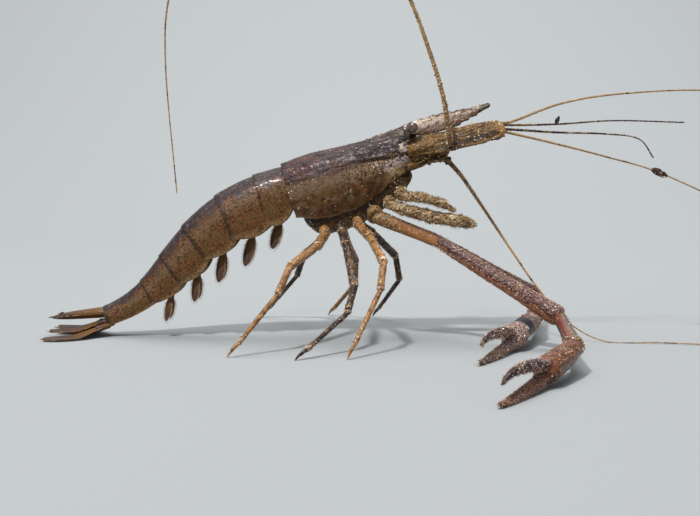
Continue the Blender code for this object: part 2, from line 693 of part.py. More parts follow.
def main():
    for old in list(bpy.data.objects):
        bpy.data.objects.remove(old)
    olive = finish("olive_shell", (0.17, 0.12, 0.07), 0.38)
    plum = finish("plum_shell", (0.20, 0.11, 0.09), 0.42)
    amber = finish("amber_leg", (0.42, 0.24, 0.11), 0.4)
    horn = finish("horn_feeler", (0.33, 0.22, 0.13), 0.5)
    eye = finish("eye_brown", (0.06, 0.035, 0.03), 0.15)
    glassy = finish("fan_blade", (0.26, 0.2, 0.15), 0.3)
    carapace(olive)
    rostrum(olive)
    sternum(olive)
    eyes(eye)
    antennules(horn)
    antennae(horn)
    antennal_scales(olive)
    mouth_legs(amber)
    arms(plum)
    walking_legs(amber)
    somites(olive)
    tail_fan(glassy)
    swimmerets(glassy)
    stand_on_origin()


main()
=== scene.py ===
"""The finish of a long-armed river prawn at life size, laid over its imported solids.

Lengths inside the script are millimetres, in the prawn's own axes: the head points along +X,
+Y is its left and the floor is at height 0. `placed` turns them into the frame's metres.
"""

from math import asin, atan, copysign, cos, degrees, exp, pi, radians, sin, tau

import bmesh
import bpy
import numpy as np
from mathutils import Matrix, Vector, noise


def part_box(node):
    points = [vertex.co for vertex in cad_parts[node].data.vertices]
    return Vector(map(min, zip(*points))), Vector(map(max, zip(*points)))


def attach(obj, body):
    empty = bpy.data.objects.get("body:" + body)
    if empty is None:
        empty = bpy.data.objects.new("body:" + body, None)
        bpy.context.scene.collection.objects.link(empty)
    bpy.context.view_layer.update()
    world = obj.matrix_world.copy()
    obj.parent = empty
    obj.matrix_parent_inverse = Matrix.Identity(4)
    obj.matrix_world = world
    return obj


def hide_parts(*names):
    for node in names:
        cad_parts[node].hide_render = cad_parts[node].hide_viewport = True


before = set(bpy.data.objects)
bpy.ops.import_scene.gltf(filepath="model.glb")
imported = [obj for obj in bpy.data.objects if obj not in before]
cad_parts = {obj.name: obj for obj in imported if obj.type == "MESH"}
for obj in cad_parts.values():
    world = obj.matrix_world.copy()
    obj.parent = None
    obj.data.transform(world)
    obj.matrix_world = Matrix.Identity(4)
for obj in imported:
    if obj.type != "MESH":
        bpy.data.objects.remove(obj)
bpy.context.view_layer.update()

bl_info = {
    "name": "Long-armed river prawn",
    "version": (1, 0, 0),
    "blender": (4, 5, 0),
    "location": "3D View > Sidebar > Prawn",
    "description": "Models and paints a life-size long-armed river prawn, piece by piece",
    "category": "Add Mesh",
}

MM = 0.001
BODY = "root"

# Head and carapace, measured from the middle of the orbit along the head's own axis.
EYE_HEIGHT = 47.0
PITCH = radians(17.0)
CARAPACE_FRONT = -2.0
CARAPACE_BACK = -30.5
# (along, top, lower margin, half width)
CARAPACE = (
    (-2.0, 0.8, -8.4, 4.2),
    (-4.5, 0.5, -9.5, 5.1),
    (-10.0, 0.15, -11.8, 6.1),
    (-17.0, 0.5, -14.0, 6.7),
    (-25.0, 1.0, -14.0, 6.5),
    (-30.5, 0.6, -12.0, 5.8),
)
# (along, upper edge between its teeth, lower edge)
KEEL = (
    (-13.5, 0.1, -1.2),
    (-10.9, 0.2, -1.2),
    (-6.3, 0.4, -1.2),
    (-1.3, 0.75, -1.7),
    (1.0, 0.95, -2.6),
    (4.1, 1.1, -2.95),
    (8.5, 0.75, -3.1),
    (11.0, 0.45, -2.5),
    (13.2, 0.25, -2.0),
    (15.6, 0.1, -1.45),
    (18.2, 0.2, -0.95),
)
ROSTRUM_TIP = 18.2
STERNUM_DEPTH = 3.2
STERNUM_TOP = 4.5
STERNUM_BOTTOM = 2.0
ROOT_GAP = 0.45

# Second legs, the long arms: ischium, merus and carpus with their (heading, rise) in degrees;
# then palm and fingers.
ARM_LENGTHS = (15.0, 31.0, 28.5)
PALM_LENGTH = 16.5
FINGER_LENGTH = 19.0
ARM_POSES = {
    "right": ((14, -21), (28, -28.5), (95, -3.5)),
    "left": ((16, -21), (20, -28.5), (-100, -3.5)),
}
HAND_HEADING = {"right": 120, "left": -116}
FINGER_REST = 0.3

# Third to fifth legs: basis with ischium, merus, carpus, propodus with dactyl. Then for each leg
# its place on the breast, and on the right and the left (heading, rise) of its lengths; the
# last length falls to the floor.
LEG_LENGTHS = (5.5, 13.0, 7.0, 16.5)
WALKING_LEGS = {
    "leg3": (-18.0, ((60, -25), (78, -20), (100, -50)), 130,
             ((48, -25), (60, -28), (72, -60)), 120),
    "leg4": (-21.8, ((80, -30), (80, -38), (108, -45)), 135,
             ((82, -28), (78, -28), (92, -56)), 120),
    "leg5": (-25.6, ((110, -25), (115, -15), (120, -50)), 148,
             ((108, -25), (110, -18), (116, -52)), 140),
}

# Tail: arc lengths of the six rings, and how steeply the axis falls at each joint (degrees).
SOMITES = (6.0, 8.5, 9.0, 8.0, 7.5, 11.0)
TAIL_FALL = (17.0, 21.5, 33.5, 45.0, 48.5, 41.0, 18.0)
TAIL_HALF_WIDTH = (5.6, 5.7, 5.5, 5.1, 4.4, 3.5, 2.7)
TAIL_ABOVE = (5.7, 5.8, 5.7, 5.2, 4.5, 3.6, 2.5)
TAIL_BELOW = (6.0, 7.4, 6.8, 6.0, 5.2, 3.4, 2.2)
TELSON_LENGTH = 12.5

# The groove along the carapace's side: its depth under the head's axis, and its slope.
GROOVE_DROP = 6.06
GROOVE_SLOPE = 0.11
# Where the front legs and the arms leave the breast, and how far apart the hip plates' ridges are.
MOUTH_LEG_AT = -6.9
FIRST_LEG_AT = -10.0
ARM_AT = -13.8
HIP_PITCH = 3.85
# The left claw's smooth black band, in shares of the claw's length: its middle and its reach.
BAND_AT = 0.26
BAND_REACH = 0.06
FLOOR_GAP = 0.02
PATCH = 0.003  # share of the unwrap that one hair or grain fills
SAND_SEED = 71

SIDES = (("right", -1.0), ("left", 1.0))
UP = Vector((0.0, 0.0, 1.0))
LEFT = Vector((0.0, 1.0, 0.0))


# ---- the prawn's axes


def head(along, up, side=0.0):
    """A point of the head's own axes, in the prawn's."""
    return Vector((
        along * cos(PITCH) - up * sin(PITCH),
        side,
        EYE_HEIGHT + along * sin(PITCH) + up * cos(PITCH),
    ))


def head_way(along, up=0):
    """A direction in the head's own axes."""
    return head(along, up) - head(0, 0)


def head_axes(points):
    """Columns along, up and side of points given in the prawn's axes."""
    x, side, z = points[:, 0], points[:, 1], points[:, 2] - EYE_HEIGHT
    c, s = cos(PITCH), sin(PITCH)
    return x * c + z * s, z * c - x * s, side


def from_head_axes(along, up, side):
    """The points again, from columns in the head's axes."""
    c, s = cos(PITCH), sin(PITCH)
    return np.stack([along * c - up * s, side, EYE_HEIGHT + along * s + up * c], axis=1)


def frame_shift():
    """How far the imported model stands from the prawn's own axes, read off its carapace."""
    low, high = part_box("carapace")
    chin = head(CARAPACE_FRONT, CARAPACE[0][2])
    return np.array([high.x / MM - chin.x, (low.y + high.y) / 2 / MM, 0.0])


SHIFT = frame_shift()


def placed(points):
    """Points in the prawn's axes as rows in the frame's metres."""
    return (np.array([tuple(p) for p in points], float).reshape(-1, 3) + SHIFT) * MM


def direction(heading, rise, hand):
    """Unit vector: heading in degrees outwards from straight ahead, rise in degrees above level."""
    h, r = radians(heading), radians(rise)
    return Vector((cos(h) * cos(r), hand * sin(h) * cos(r), sin(r)))


def smooth(keys, values, place):
    """Smooth value from a table whose keys only rise or only fall."""
    if keys[0] > keys[-1]:
        keys, values, place = [-k for k in keys], values, -place
    place = min(max(place, keys[0]), keys[-1])
    i = max(k for k in range(len(keys) - 1) if keys[k] <= place + 1e-9)
    last = len(keys) - 1
    slope = [
        (values[min(k + 1, last)] - values[max(k - 1, 0)])
        / (keys[min(k + 1, last)] - keys[max(k - 1, 0)])
        for k in (i, i + 1)
    ]
    width = keys[i + 1] - keys[i]
    t = (place - keys[i]) / width
    return (
        (2 * t**3 - 3 * t**2 + 1) * values[i]
        + (t**3 - 2 * t**2 + t) * width * slope[0]
        + (3 * t**2 - 2 * t**3) * values[i + 1]
        + (t**3 - t**2) * width * slope[1]
    )


def table_at(rows, place, column):
    return smooth([row[0] for row in rows], [row[column] for row in rows], place)


def ease(low, high, value):
    """0 below low, 1 above high, smooth between."""
    t = min(max((value - low) / (high - low), 0.0), 1.0)
    return t * t * (3 - 2 * t)


def spline(points, count):
    """Evenly numbered points of a Catmull-Rom curve through the given ones."""
    ends = [points[0] * 2 - points[1], *points, points[-1] * 2 - points[-2]]
    spans = len(points) - 1
    found = []
    for k in range(count + 1):
        place = spans * k / count
        i = min(int(place), spans - 1)
        t = place - i
        a, b, c, d = ends[i:i + 4]
        found.append(0.5 * (2 * b + (c - a) * t + (2 * a - 5 * b + 4 * c - d) * t * t
                            + (3 * b - 3 * c + d - a) * t**3))
    return found


def chain(start, steps, hand):
    """Joints from a start and (length, heading, rise) steps."""
    joints = [start]
    for length, heading, rise in steps:
        joints.append(joints[-1] + direction(heading, rise, hand) * length)
    return joints


def leg_root(along, hand):
    """(point on the breast wedge's flank, that flank's outward normal)."""
    normal = Vector((0.0, hand * STERNUM_DEPTH, -(STERNUM_TOP - STERNUM_BOTTOM))).normalized()
    turned = Matrix.Rotation(-PITCH, 3, "Y") @ normal
    taper = min(1.0, 0.55 + (-3.0 - along) * 0.15)
    side = hand * taper * (STERNUM_TOP + STERNUM_BOTTOM) / 2
    margin = table_at(CARAPACE, along, 2)
    point = head(along, margin - ROOT_GAP - STERNUM_DEPTH * taper / 2, side)
    return point + turned * ROOT_GAP, turned


def limb_joints(along, hip, steps, hand):
    """Joints of a limb: its root on the breast, its hip, then the end of each step."""
    root, normal = leg_root(along, hand)
    return [root, *chain(root + normal * hip, steps, hand)]


def grounded(joint, length, heading, rest, hand):
    """Where a limb's last length ends when it reaches down to `rest` above the floor."""
    drop = -degrees(asin(min(1.0, (joint.z - rest) / length)))
    return joint + direction(heading, drop, hand) * length


# ---- modelling


def deselect():
    if bpy.context.mode != "OBJECT":
        bpy.ops.object.mode_set(mode="OBJECT")
    bpy.ops.object.select_all(action="DESELECT")


def only(body):
    deselect()
    body.select_set(True)
    bpy.context.view_layer.objects.active = body


def oval(centre, run, side, wide, deep, count):
    """A ring of points round `run`; `side` is the wide axis."""
    run = run.normalized()
    side = (side - run * side.dot(run)).normalized()
    other = run.cross(side)
    turns = (tau * k / count for k in range(count))
    return [centre + side * (wide * cos(t)) + other * (deep * sin(t)) for t in turns]


def draw_out(name, rings, levels=1, marks=None):
    """A circle drawn out through rings of points and capped, then smoothed.

    marks maps an attribute's name to one value per ring, or per ring and point.
    """
    deselect()
    count = len(rings[0])
    bpy.ops.mesh.primitive_circle_add(vertices=count, radius=MM)
    body = bpy.context.object
    body.name = body.data.name = name
    bpy.ops.object.mode_set(mode="EDIT")
    bm = bmesh.from_edit_mesh(body.data)
    bm.verts.ensure_lookup_table()
    for vert, point in zip(bm.verts, placed(rings[0])):
        vert.co = point
    order = [list(range(count))]
    for ring in rings[1:]:
        bpy.ops.mesh.extrude_edges_move()
        bm = bmesh.from_edit_mesh(body.data)
        bm.verts.ensure_lookup_table()
        bm.verts.index_update()
        grown = []
        for index, point in zip(order[-1], placed(ring)):
            ends = (edge.other_vert(bm.verts[index]) for edge in bm.verts[index].link_edges)
            fresh = next(vert for vert in ends if vert.select)
            fresh.co = point
            grown.append(fresh.index)
        order.append(grown)
    bpy.ops.mesh.edge_face_add()
    bpy.ops.mesh.select_all(action="DESELECT")
    bm = bmesh.from_edit_mesh(body.data)
    bm.verts.ensure_lookup_table()
    for index in order[0]:
        bm.verts[index].select = True
    bm.select_flush(True)
    bpy.ops.mesh.edge_face_add()
    bpy.ops.mesh.select_all(action="SELECT")
    bpy.ops.mesh.normals_make_consistent(inside=False)
    bpy.ops.object.mode_set(mode="OBJECT")
    mark(body, order, rings, marks or {})
    if levels:
        apply_modifier(body, "SUBSURF", levels=levels, render_levels=levels)
    return body


def mark(body, order, rings, marks):
    """Writes where each point lies: share of the length, share of the way round, how far up."""
    centres = [sum(ring, Vector()) / len(ring) for ring in rings]
    runs = [0.0]
    for a, b in zip(centres, centres[1:]):
        runs.append(runs[-1] + (b - a).length)
    keys = ("run", "share", "around", "top", *marks)
    columns = {key: np.zeros(len(body.data.vertices)) for key in keys}
    for k, (indices, ring) in enumerate(zip(order, rings)):
        for j, (index, point) in enumerate(zip(indices, ring)):
            off = point - centres[k]
            columns["run"][index] = runs[k]
            columns["share"][index] = runs[k] / max(runs[-1], 1e-6)
            columns["around"][index] = j / len(ring)
            columns["top"][index] = off.z / max(off.length, 1e-6)
            for key, values in marks.items():
                columns[key][index] = values[k][j] if np.ndim(values[k]) else values[k]
    for key, values in columns.items():
        body.data.attributes.new(key, "FLOAT", "POINT").data.foreach_set("value", values)


def apply_modifier(body, kind, **settings):
    only(body)
    modifier = body.modifiers.new(kind.title(), kind)
    for key, value in settings.items():
        setattr(modifier, key, value)
    bpy.ops.object.modifier_apply(modifier=modifier.name)


def lumps(body, *swells):
    """Uneven swellings of the surface, each kind given as (height, width)."""
    for height, width in swells:
        texture = bpy.data.textures.new(f"{body.name}_lumps", "CLOUDS")
        texture.noise_scale = width * MM
        texture.noise_depth = 2
        apply_modifier(body, "DISPLACE", texture=texture, strength=height * MM, mid_level=0.5)


def points_of(body):
    """The body's points in the prawn's axes."""
    raw = np.empty(len(body.data.vertices) * 3)
    body.data.vertices.foreach_get("co", raw)
    return raw.reshape(-1, 3) / MM - SHIFT


def set_points(body, points):
    body.data.vertices.foreach_set("co", placed(points).ravel())
    body.data.update()


def values_of(body, key):
    found = np.empty(len(body.data.vertices))
    body.data.attributes[key].data.foreach_get("value", found)
    return found


def join(name, bodies):
    """One body from several shells."""
    deselect()
    for body in bodies:
        body.select_set(True)
    bpy.context.view_layer.objects.active = bodies[0]
    if len(bodies) > 1:
        bpy.ops.object.join()
    body = bpy.context.object
    body.name = body.data.name = name
    return body


def finished(body, material, slot, *nodes, angle=40):
    """Lifts what would sink into the floor, paints the body and lets it ride on the prawn."""
    points = points_of(body)
    points[:, 2] = np.maximum(points[:, 2], FLOOR_GAP)
    set_points(body, points)
    only(body)
    bpy.ops.object.shade_smooth_by_angle(angle=radians(angle))
    body.data.materials.append(material)
    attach(body, BODY)
    if nodes:
        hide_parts(*nodes)


# Outlines of stiff parts: (share of the length, share of the radius). A limb's is narrow where
# it enters the one before, and flared at its far end.
SEGMENT = ((0.0, 0.5), (0.03, 0.74), (0.1, 0.9), (0.28, 0.94), (0.55, 0.9), (0.8, 0.97),
           (0.91, 1.1), (0.97, 1.13), (1.0, 0.98), (1.005, 0.7))


def segment(name, start, end, radius, flatten=1.0, taper=1.0, bow=None, count=12,
            profile=SEGMENT, levels=2):
    """One stiff part of a limb, from its root to its far end."""
    run = end - start
    rings = []
    for share, width in profile:
        here = start + run * share
        if bow is not None:
            here += bow * sin(pi * share)
        r = radius * width * (1 + (taper - 1) * share)
        rings.append(oval(here, run, LEFT, r, r * flatten, count))
    return draw_out(name, rings, levels)


CLAW = ((0.0, 0.6), (0.08, 0.95), (0.3, 0.9), (0.6, 0.66), (0.85, 0.38), (0.97, 0.16),
        (1.0, 0.06))


def spine(name, root, tip, radius, bend=None):
    """A small curved horn."""
    return segment(name, root, tip, radius, bow=bend, count=8, profile=CLAW, levels=1)


# ---- hair and sand


def scatter(body, count, seed, weight=None, needs=("share", "around")):
    """Random places on a body: (points, normals, attribute columns), thicker where weight says."""
    rng = np.random.default_rng(seed)
    mesh = body.data
    mesh.calc_loop_triangles()
    corners = np.empty(len(mesh.loop_triangles) * 3, np.int32)
    mesh.loop_triangles.foreach_get("vertices", corners)
    corners = corners.reshape(-1, 3)
    points = points_of(body)
    a, b, c = (points[corners[:, k]] for k in range(3))
    normal = np.cross(b - a, c - a)
    area = np.linalg.norm(normal, axis=1)
    normal /= np.maximum(area, 1e-12)[:, None]
    columns = {key: values_of(body, key)[corners[:, 0]] for key in needs}
    chance = area.copy()
    if weight is not None:
        chance = chance * np.maximum(weight((a + b + c) / 3, normal, columns), 0.0)
    total = chance.sum()
    if total <= 0:
        raise RuntimeError(f"nowhere on {body.name} takes what is scattered over it")
    picked = rng.choice(len(area), size=count, p=chance / total)
    u, v = rng.random(count), rng.random(count)
    flip = u + v > 1
    u[flip], v[flip] = 1 - u[flip], 1 - v[flip]
    spots = a[picked] + (b - a)[picked] * u[:, None] + (c - a)[picked] * v[:, None]
    return spots, normal[picked], {key: column[picked] for key, column in columns.items()}


def unit(vectors):
    return vectors / np.maximum(np.linalg.norm(vectors, axis=1), 1e-9)[:, None]


def mesh_of_many(name, points, faces, roots, local):
    """A body of many like shapes: points (n, v, 3), faces over one shape, and the OFBake map.

    roots (n, 2) is where each grows on the unwrap of its skin, local (v, 2) the patch it fills.
    """
    each = points.shape[1]
    mesh = bpy.data.meshes.new(name)
    body = bpy.data.objects.new(name, mesh)
    bpy.context.scene.collection.objects.link(body)
    every = [tuple(i + each * k for i in face) for k in range(len(points)) for face in faces]
    mesh.from_pydata(placed(points.reshape(-1, 3)), [], every)
    patch = mesh.uv_layers.new(name="OFBake")
    corner = np.empty(len(mesh.loops), np.int32)
    mesh.loops.foreach_get("vertex_index", corner)
    spread = (roots[:, None, :] + local[None, :, :] * PATCH).reshape(-1, 2)
    patch.data.foreach_set("uv", np.clip(spread, 0.0, 1.0)[corner].ravel())
    mesh.update()
    return body


def bristles(name, roots, directions, lengths, thick, uv, seed, droop=0.0):
    """Three-sided tapering hairs with a bend, joined as one body."""
    rng = np.random.default_rng(seed)
    n = len(roots)
    run = unit(directions)
    side = unit(np.cross(run, rng.normal(size=(n, 3))))
    other = np.cross(run, side)
    sag = np.array([0.0, 0.0, -droop])
    lengths = lengths[:, None]
    shape = []
    for share, width in ((0.0, 1.0), (0.45, 0.8), (1.0, 0.0)):
        middle = roots + run * lengths * share + sag * lengths * share**2
        if width == 0.0:
            shape.append(middle[:, None, :])
            continue
        for k in range(3):
            turn = tau * k / 3
            off = side * cos(turn) + other * sin(turn)
            shape.append((middle + off * thick * width)[:, None, :])
    points = np.concatenate(shape, axis=1)
    faces = [(0, 1, 4, 3), (1, 2, 5, 4), (2, 0, 3, 5), (3, 4, 6), (4, 5, 6), (5, 3, 6), (2, 1, 0)]
    local = np.array([(0, 0), (1, 0), (0.5, 0), (0, 0.5), (1, 0.5), (0.5, 0.5), (0.5, 1)])
    return mesh_of_many(name, points, faces, uv, local)


def grains(name, roots, normals, sizes, uv, seed):
    """Uneven grains of sand or mud, partly sunk in what they lie on."""
    rng = np.random.default_rng(seed)
    n = len(roots)
    bm = bmesh.new()
    bmesh.ops.create_icosphere(bm, subdivisions=1, radius=1.0)
    ball = np.array([v.co for v in bm.verts])
    faces = [tuple(v.index for v in f.verts) for f in bm.faces]
    bm.free()
    turn = np.linalg.qr(rng.normal(size=(n, 3, 3)))[0]
    turn[:, :, 0] *= np.sign(np.linalg.det(turn))[:, None]
    stretch = rng.uniform(0.6, 1.25, size=(n, 1, 3))
    bumps = rng.uniform(0.75, 1.15, size=(n, len(ball), 1))
    shape = (ball[None] * stretch * bumps) @ turn.transpose(0, 2, 1)
    shape = shape * sizes[:, None, None]
    middle = roots + normals * (sizes * 0.25)[:, None]
    local = (ball[:, :2] + 1) / 2
    return mesh_of_many(name, middle[:, None, :] + shape, faces, uv, local)


def roots_of(columns):
    """Places on the unwrap of the skin that hairs grow from."""
    return np.stack([columns["around"] * 0.99, columns["share"] * 0.99], axis=1)


# ---- paint


class Wire:
    """A shader socket that does sums."""

    def __init__(self, paint, socket):
        self.paint, self.socket = paint, socket

    def sum(self, operation, *values, clamp=False):
        return self.paint.node("Math", {"operation": operation, "use_clamp": clamp}, *values)

    def __add__(self, other):
        return self.sum("ADD", self, other)

    def __radd__(self, other):
        return self.sum("ADD", other, self)

    def __sub__(self, other):
        return self.sum("SUBTRACT", self, other)

    def __rsub__(self, other):
        return self.sum("SUBTRACT", other, self)

    def __mul__(self, other):
        return self.sum("MULTIPLY", self, other)

    def __rmul__(self, other):
        return self.sum("MULTIPLY", other, self)

    def __truediv__(self, other):
        return self.sum("DIVIDE", self, other)

    def __pow__(self, other):
        return self.sum("POWER", self, other)

    def __abs__(self):
        return self.sum("ABSOLUTE", self)

    def sine(self):
        return self.sum("SINE", self)

    def part(self):
        return self.sum("FRACT", self)

    def clamp(self):
        return self.sum("ADD", self, 0.0, clamp=True)

    def most(self, other):
        return self.sum("MAXIMUM", self, other)

    def sway(self, amount):
        """A noise as ups and downs of about half the amount."""
        return (self - 0.5) * amount

    def rise(self, low, high):
        """0 below low and 1 above high, smooth between; low above high falls instead."""
        if low > high:
            return 1.0 - self.rise(high, low)
        settings = {"interpolation_type": "SMOOTHSTEP"}
        return self.paint.node("MapRange", settings, self, low, high, 0.0, 1.0)

    def near(self, middle, width):
        """1 at middle, 0 a width away from it."""
        return abs(self - middle).rise(width, 0.0)


def socket_name(key):
    return key.replace("_", " ").title().replace("Ior", "IOR")


class Paint:
    """A Principled material that is built up from wires."""

    def __init__(self, name, **constants):
        self.material = bpy.data.materials.new(name)
        self.material.use_nodes = True
        self.tree = self.material.node_tree
        self.shader = self.tree.nodes["Principled BSDF"]
        self.colour = None
        self.shader.inputs["Specular IOR Level"].default_value = 0.2
        for key, value in constants.items():
            self.shader.inputs[socket_name(key)].default_value = value

    def node(self, kind, settings, *values, out=0):
        """Adds a node: its settings first, then the values or wires of its sockets in order."""
        made = self.tree.nodes.new(f"ShaderNode{kind}")
        for key, value in settings.items():
            setattr(made, key, value)
        sockets = [s for s in made.inputs if s.enabled]
        for socket, value in zip(sockets, values):
            self.feed(socket, value)
        outputs = [s for s in made.outputs if s.enabled]
        return Wire(self, outputs[out])

    def feed(self, socket, value):
        if isinstance(value, Wire):
            self.tree.links.new(value.socket, socket)
        elif value is not None:
            socket.default_value = value

    def place(self):
        """The object's own coordinates, in metres."""
        return self.node("TexCoord", {}, out=3)

    def axes(self):
        """Wires along, up and side of the head's axes, in millimetres."""
        moved = self.node("VectorMath", {"operation": "SUBTRACT"}, self.place(), tuple(SHIFT * MM))
        x, y, z = (self.node("SeparateXYZ", {}, moved, out=k) * (1 / MM) for k in range(3))
        z = z - EYE_HEIGHT
        c, s = cos(PITCH), sin(PITCH)
        return x * c + z * s, z * c - x * s, y

    def streaks(self, size, stretch=0.3):
        """Noise drawn out along the head's own axis."""
        along, up, side = self.axes()
        where = self.node("CombineXYZ", {}, along * stretch, up, side)
        return self.node("TexNoise", {}, where, 1 / size, 4.0, 0.55)

    def attributes(self, *names):
        return [self.node("Attribute", {"attribute_name": name}, out=2) for name in names]

    def noise(self, size, detail=3.0):
        """Cloudy variation about `size` millimetres across."""
        return self.node("TexNoise", {}, self.place(), 1 / (size * MM), detail, 0.55)

    def cells(self, size, out=0):
        """Voronoi cells about `size` millimetres across: 0 is the distance, 1 a colour for each."""
        return self.node("TexVoronoi", {}, self.place(), 1 / (size * MM), out=out)

    def specks(self, size, share, reach=0.36):
        """Scattered dots: `share` of the cells of that size hold one."""
        spread = self.cells(size)
        chance = self.node("SeparateColor", {}, self.cells(size, out=1))
        return spread.rise(reach, reach * 0.6) * chance.rise(1 - share + 0.02, 1 - share + 0.03)

    def mix(self, a, b, factor):
        """Colour a where the factor is 0, b where it is 1."""
        colours = [c if isinstance(c, Wire) else (*c, 1.0) for c in (a, b)]
        return self.node("Mix", {"data_type": "RGBA"}, factor, *colours)

    def ground(self, a, b, factor):
        """Starts the colour with a mix of two."""
        self.colour = self.mix(a, b, factor)

    def over(self, colour, factor):
        """Lays another colour over what is there."""
        self.colour = self.mix(self.colour, colour, factor)

    def noises(self, size):
        """Broad, fine and grainy variation."""
        return self.noise(size), self.noise(0.7, 4.0), self.noise(0.42)

    def bump(self, height, depth, under=None):
        """Raises the surface by depth millimetres where height is 1."""
        return self.node("Bump", {}, 1.0, depth * MM, None, height, under)

    def skin(self, relief, grit, rough=0.2, wet=0.4, depth=0.12, pits=0.1):
        """Finishes a wet, uneven shell with two sizes of relief."""
        return self.finish(
            roughness=self.noise(0.7, 4.0) * 0.3 + rough, coat_weight=sheen(self, wet),
            normal=self.bump(relief, depth, self.bump(grit, pits)))

    def finish(self, **wires):
        """Feeds the shader's sockets and returns the material."""
        if self.colour is not None:
            self.feed(self.shader.inputs["Base Color"], self.colour)
        for key, value in wires.items():
            self.feed(self.shader.inputs[socket_name(key)], value)
        return self.material


def tone(red, green, blue):
    """A display colour of 0 to 255 as the linear one that paint takes."""
    return tuple(round((c / 255) ** 2.2, 4) for c in (red, green, blue))


def colour_property(name, description, red, green, blue):
    return bpy.props.FloatVectorProperty(
        name=name, description=description, subtype="COLOR", min=0.0, max=1.0,
        default=tone(red, green, blue))


def length_property(name, description, millimetres):
    return bpy.props.FloatProperty(
        name=name, description=description, subtype="DISTANCE", unit="LENGTH",
        default=millimetres * MM, min=0.0, precision=5)


class ShellColours(bpy.types.PropertyGroup):
    olive: colour_property("Olive", "Flank of the carapace and sides of the tail", 98, 70, 38)
    rust: colour_property("Rust", "Warm patches low on the flank", 112, 70, 38)
    plum: colour_property("Plum", "Dark band over the back", 64, 53, 54)
    # dust also paints the highlight on the raised lip of the carapace's side groove
    dust: colour_property("Dust", "Dried film along the upper flank", 122, 102, 84)
    # lavender also paints glints among the streaks over the carapace's back
    lavender: colour_property("Lavender", "Pale patches behind the eye", 172, 154, 158)
    grey: colour_property("Grey", "Bare middle of the rostrum's side", 150, 130, 124)
    flank: colour_property("Rostrum flank", "Sandy lower side of the rostrum", 192, 168, 150)
    mud: colour_property("Mud", "Golden mud in the folds and on the scales", 124, 92, 50)
    dry: colour_property("Dry mud", "Pale mud where it has dried", 164, 134, 92)
    # silt also paints shade: in the carapace's side groove and on the belly just under the
    # carapace's margin
    silt: colour_property("Silt", "Dark mud in the grooves", 40, 29, 22)


class LimbColours(bpy.types.PropertyGroup):
    amber: colour_property("Amber", "Smooth parts of the arms", 158, 108, 66)
    # ember also paints the shade under the left claw
    ember: colour_property("Ember", "Orange-brown sides of the arms and claws", 128, 82, 50)
    # maroon also paints the shade on the undersides of the arms
    maroon: colour_property("Maroon", "Upper faces of the arms", 82, 50, 46)
    tan: colour_property("Tan", "Walking legs and mouth legs", 172, 136, 94)
    umber: colour_property("Umber", "Dark walking legs", 62, 48, 40)
    grey: colour_property("Grey claw", "Knobbly skin of the left claw", 132, 114, 116)
    pink: colour_property("Pink", "Stubble and pale knobs of the arms", 202, 166, 154)
    # night also paints the shade line along an arm below its upper colour
    night: colour_property("Night", "Claw fingers and dark bands", 44, 36, 40)
    horn: colour_property("Horn", "Feelers", 150, 118, 80)
    joint: colour_property("Joint", "Soft skin between the stiff parts", 150, 104, 66)


class SmallThings(bpy.types.PropertyGroup):
    # pale sand also paints highlights at the joints of the walking legs
    sand: colour_property("Pale sand", "Lightest grains", 236, 226, 204)
    ochre: colour_property("Ochre sand", "Warm grains", 186, 142, 78)
    hair: colour_property("Hair", "Bristles and fringes", 196, 168, 124)
    grain: length_property("Grain", "Radius of a grain of sand", 0.085)
    bristle: length_property("Bristle", "Length of a bristle on the arms", 0.5)
    fringe: length_property("Fringe", "Length of the hairs round the tail fan", 1.9)


class EyeLook(bpy.types.PropertyGroup):
    radius: length_property("Radius", "Radius of the eyeball", 1.5)
    cornea: colour_property("Cornea", "The eyeball", 116, 92, 84)
    rim: colour_property("Rim", "Pale edge of the eyeball", 216, 202, 182)


class StageLook(bpy.types.PropertyGroup):
    floor: colour_property("Floor", "The plain pale floor", 150, 153, 154)
    key: bpy.props.FloatProperty(name="Key", description="Power of the main lamp", default=7.0,
                                 min=0.0, subtype="POWER", unit="POWER")
    ambient: bpy.props.FloatProperty(name="Ambient", description="Strength of the light all round",
                                     default=0.40, min=0.0)


GROUPS = {
    "prawn_shell": ShellColours,
    "prawn_limbs": LimbColours,
    "prawn_small": SmallThings,
    "prawn_eye": EyeLook,
    "prawn_stage": StageLook,
}


def settings(name):
    return getattr(bpy.context.scene, f"prawn_{name}")


def sheen(paint, wet=0.45):
    """A wet film over the shell."""
    paint.shader.inputs["Coat Roughness"].default_value = 0.12
    paint.shader.inputs["Coat IOR"].default_value = 1.36
    return (paint.noise(1.6) - 0.35).clamp() * (wet * 2.4)


def blotch(along, up, place, size, wobble):
    """1 inside a ragged oval at place (along, up), 0 outside."""
    a = (along - place[0]) / size[0]
    b = (up - place[1]) / size[1]
    return (a * a + b * b + wobble).rise(1.25, 0.6)


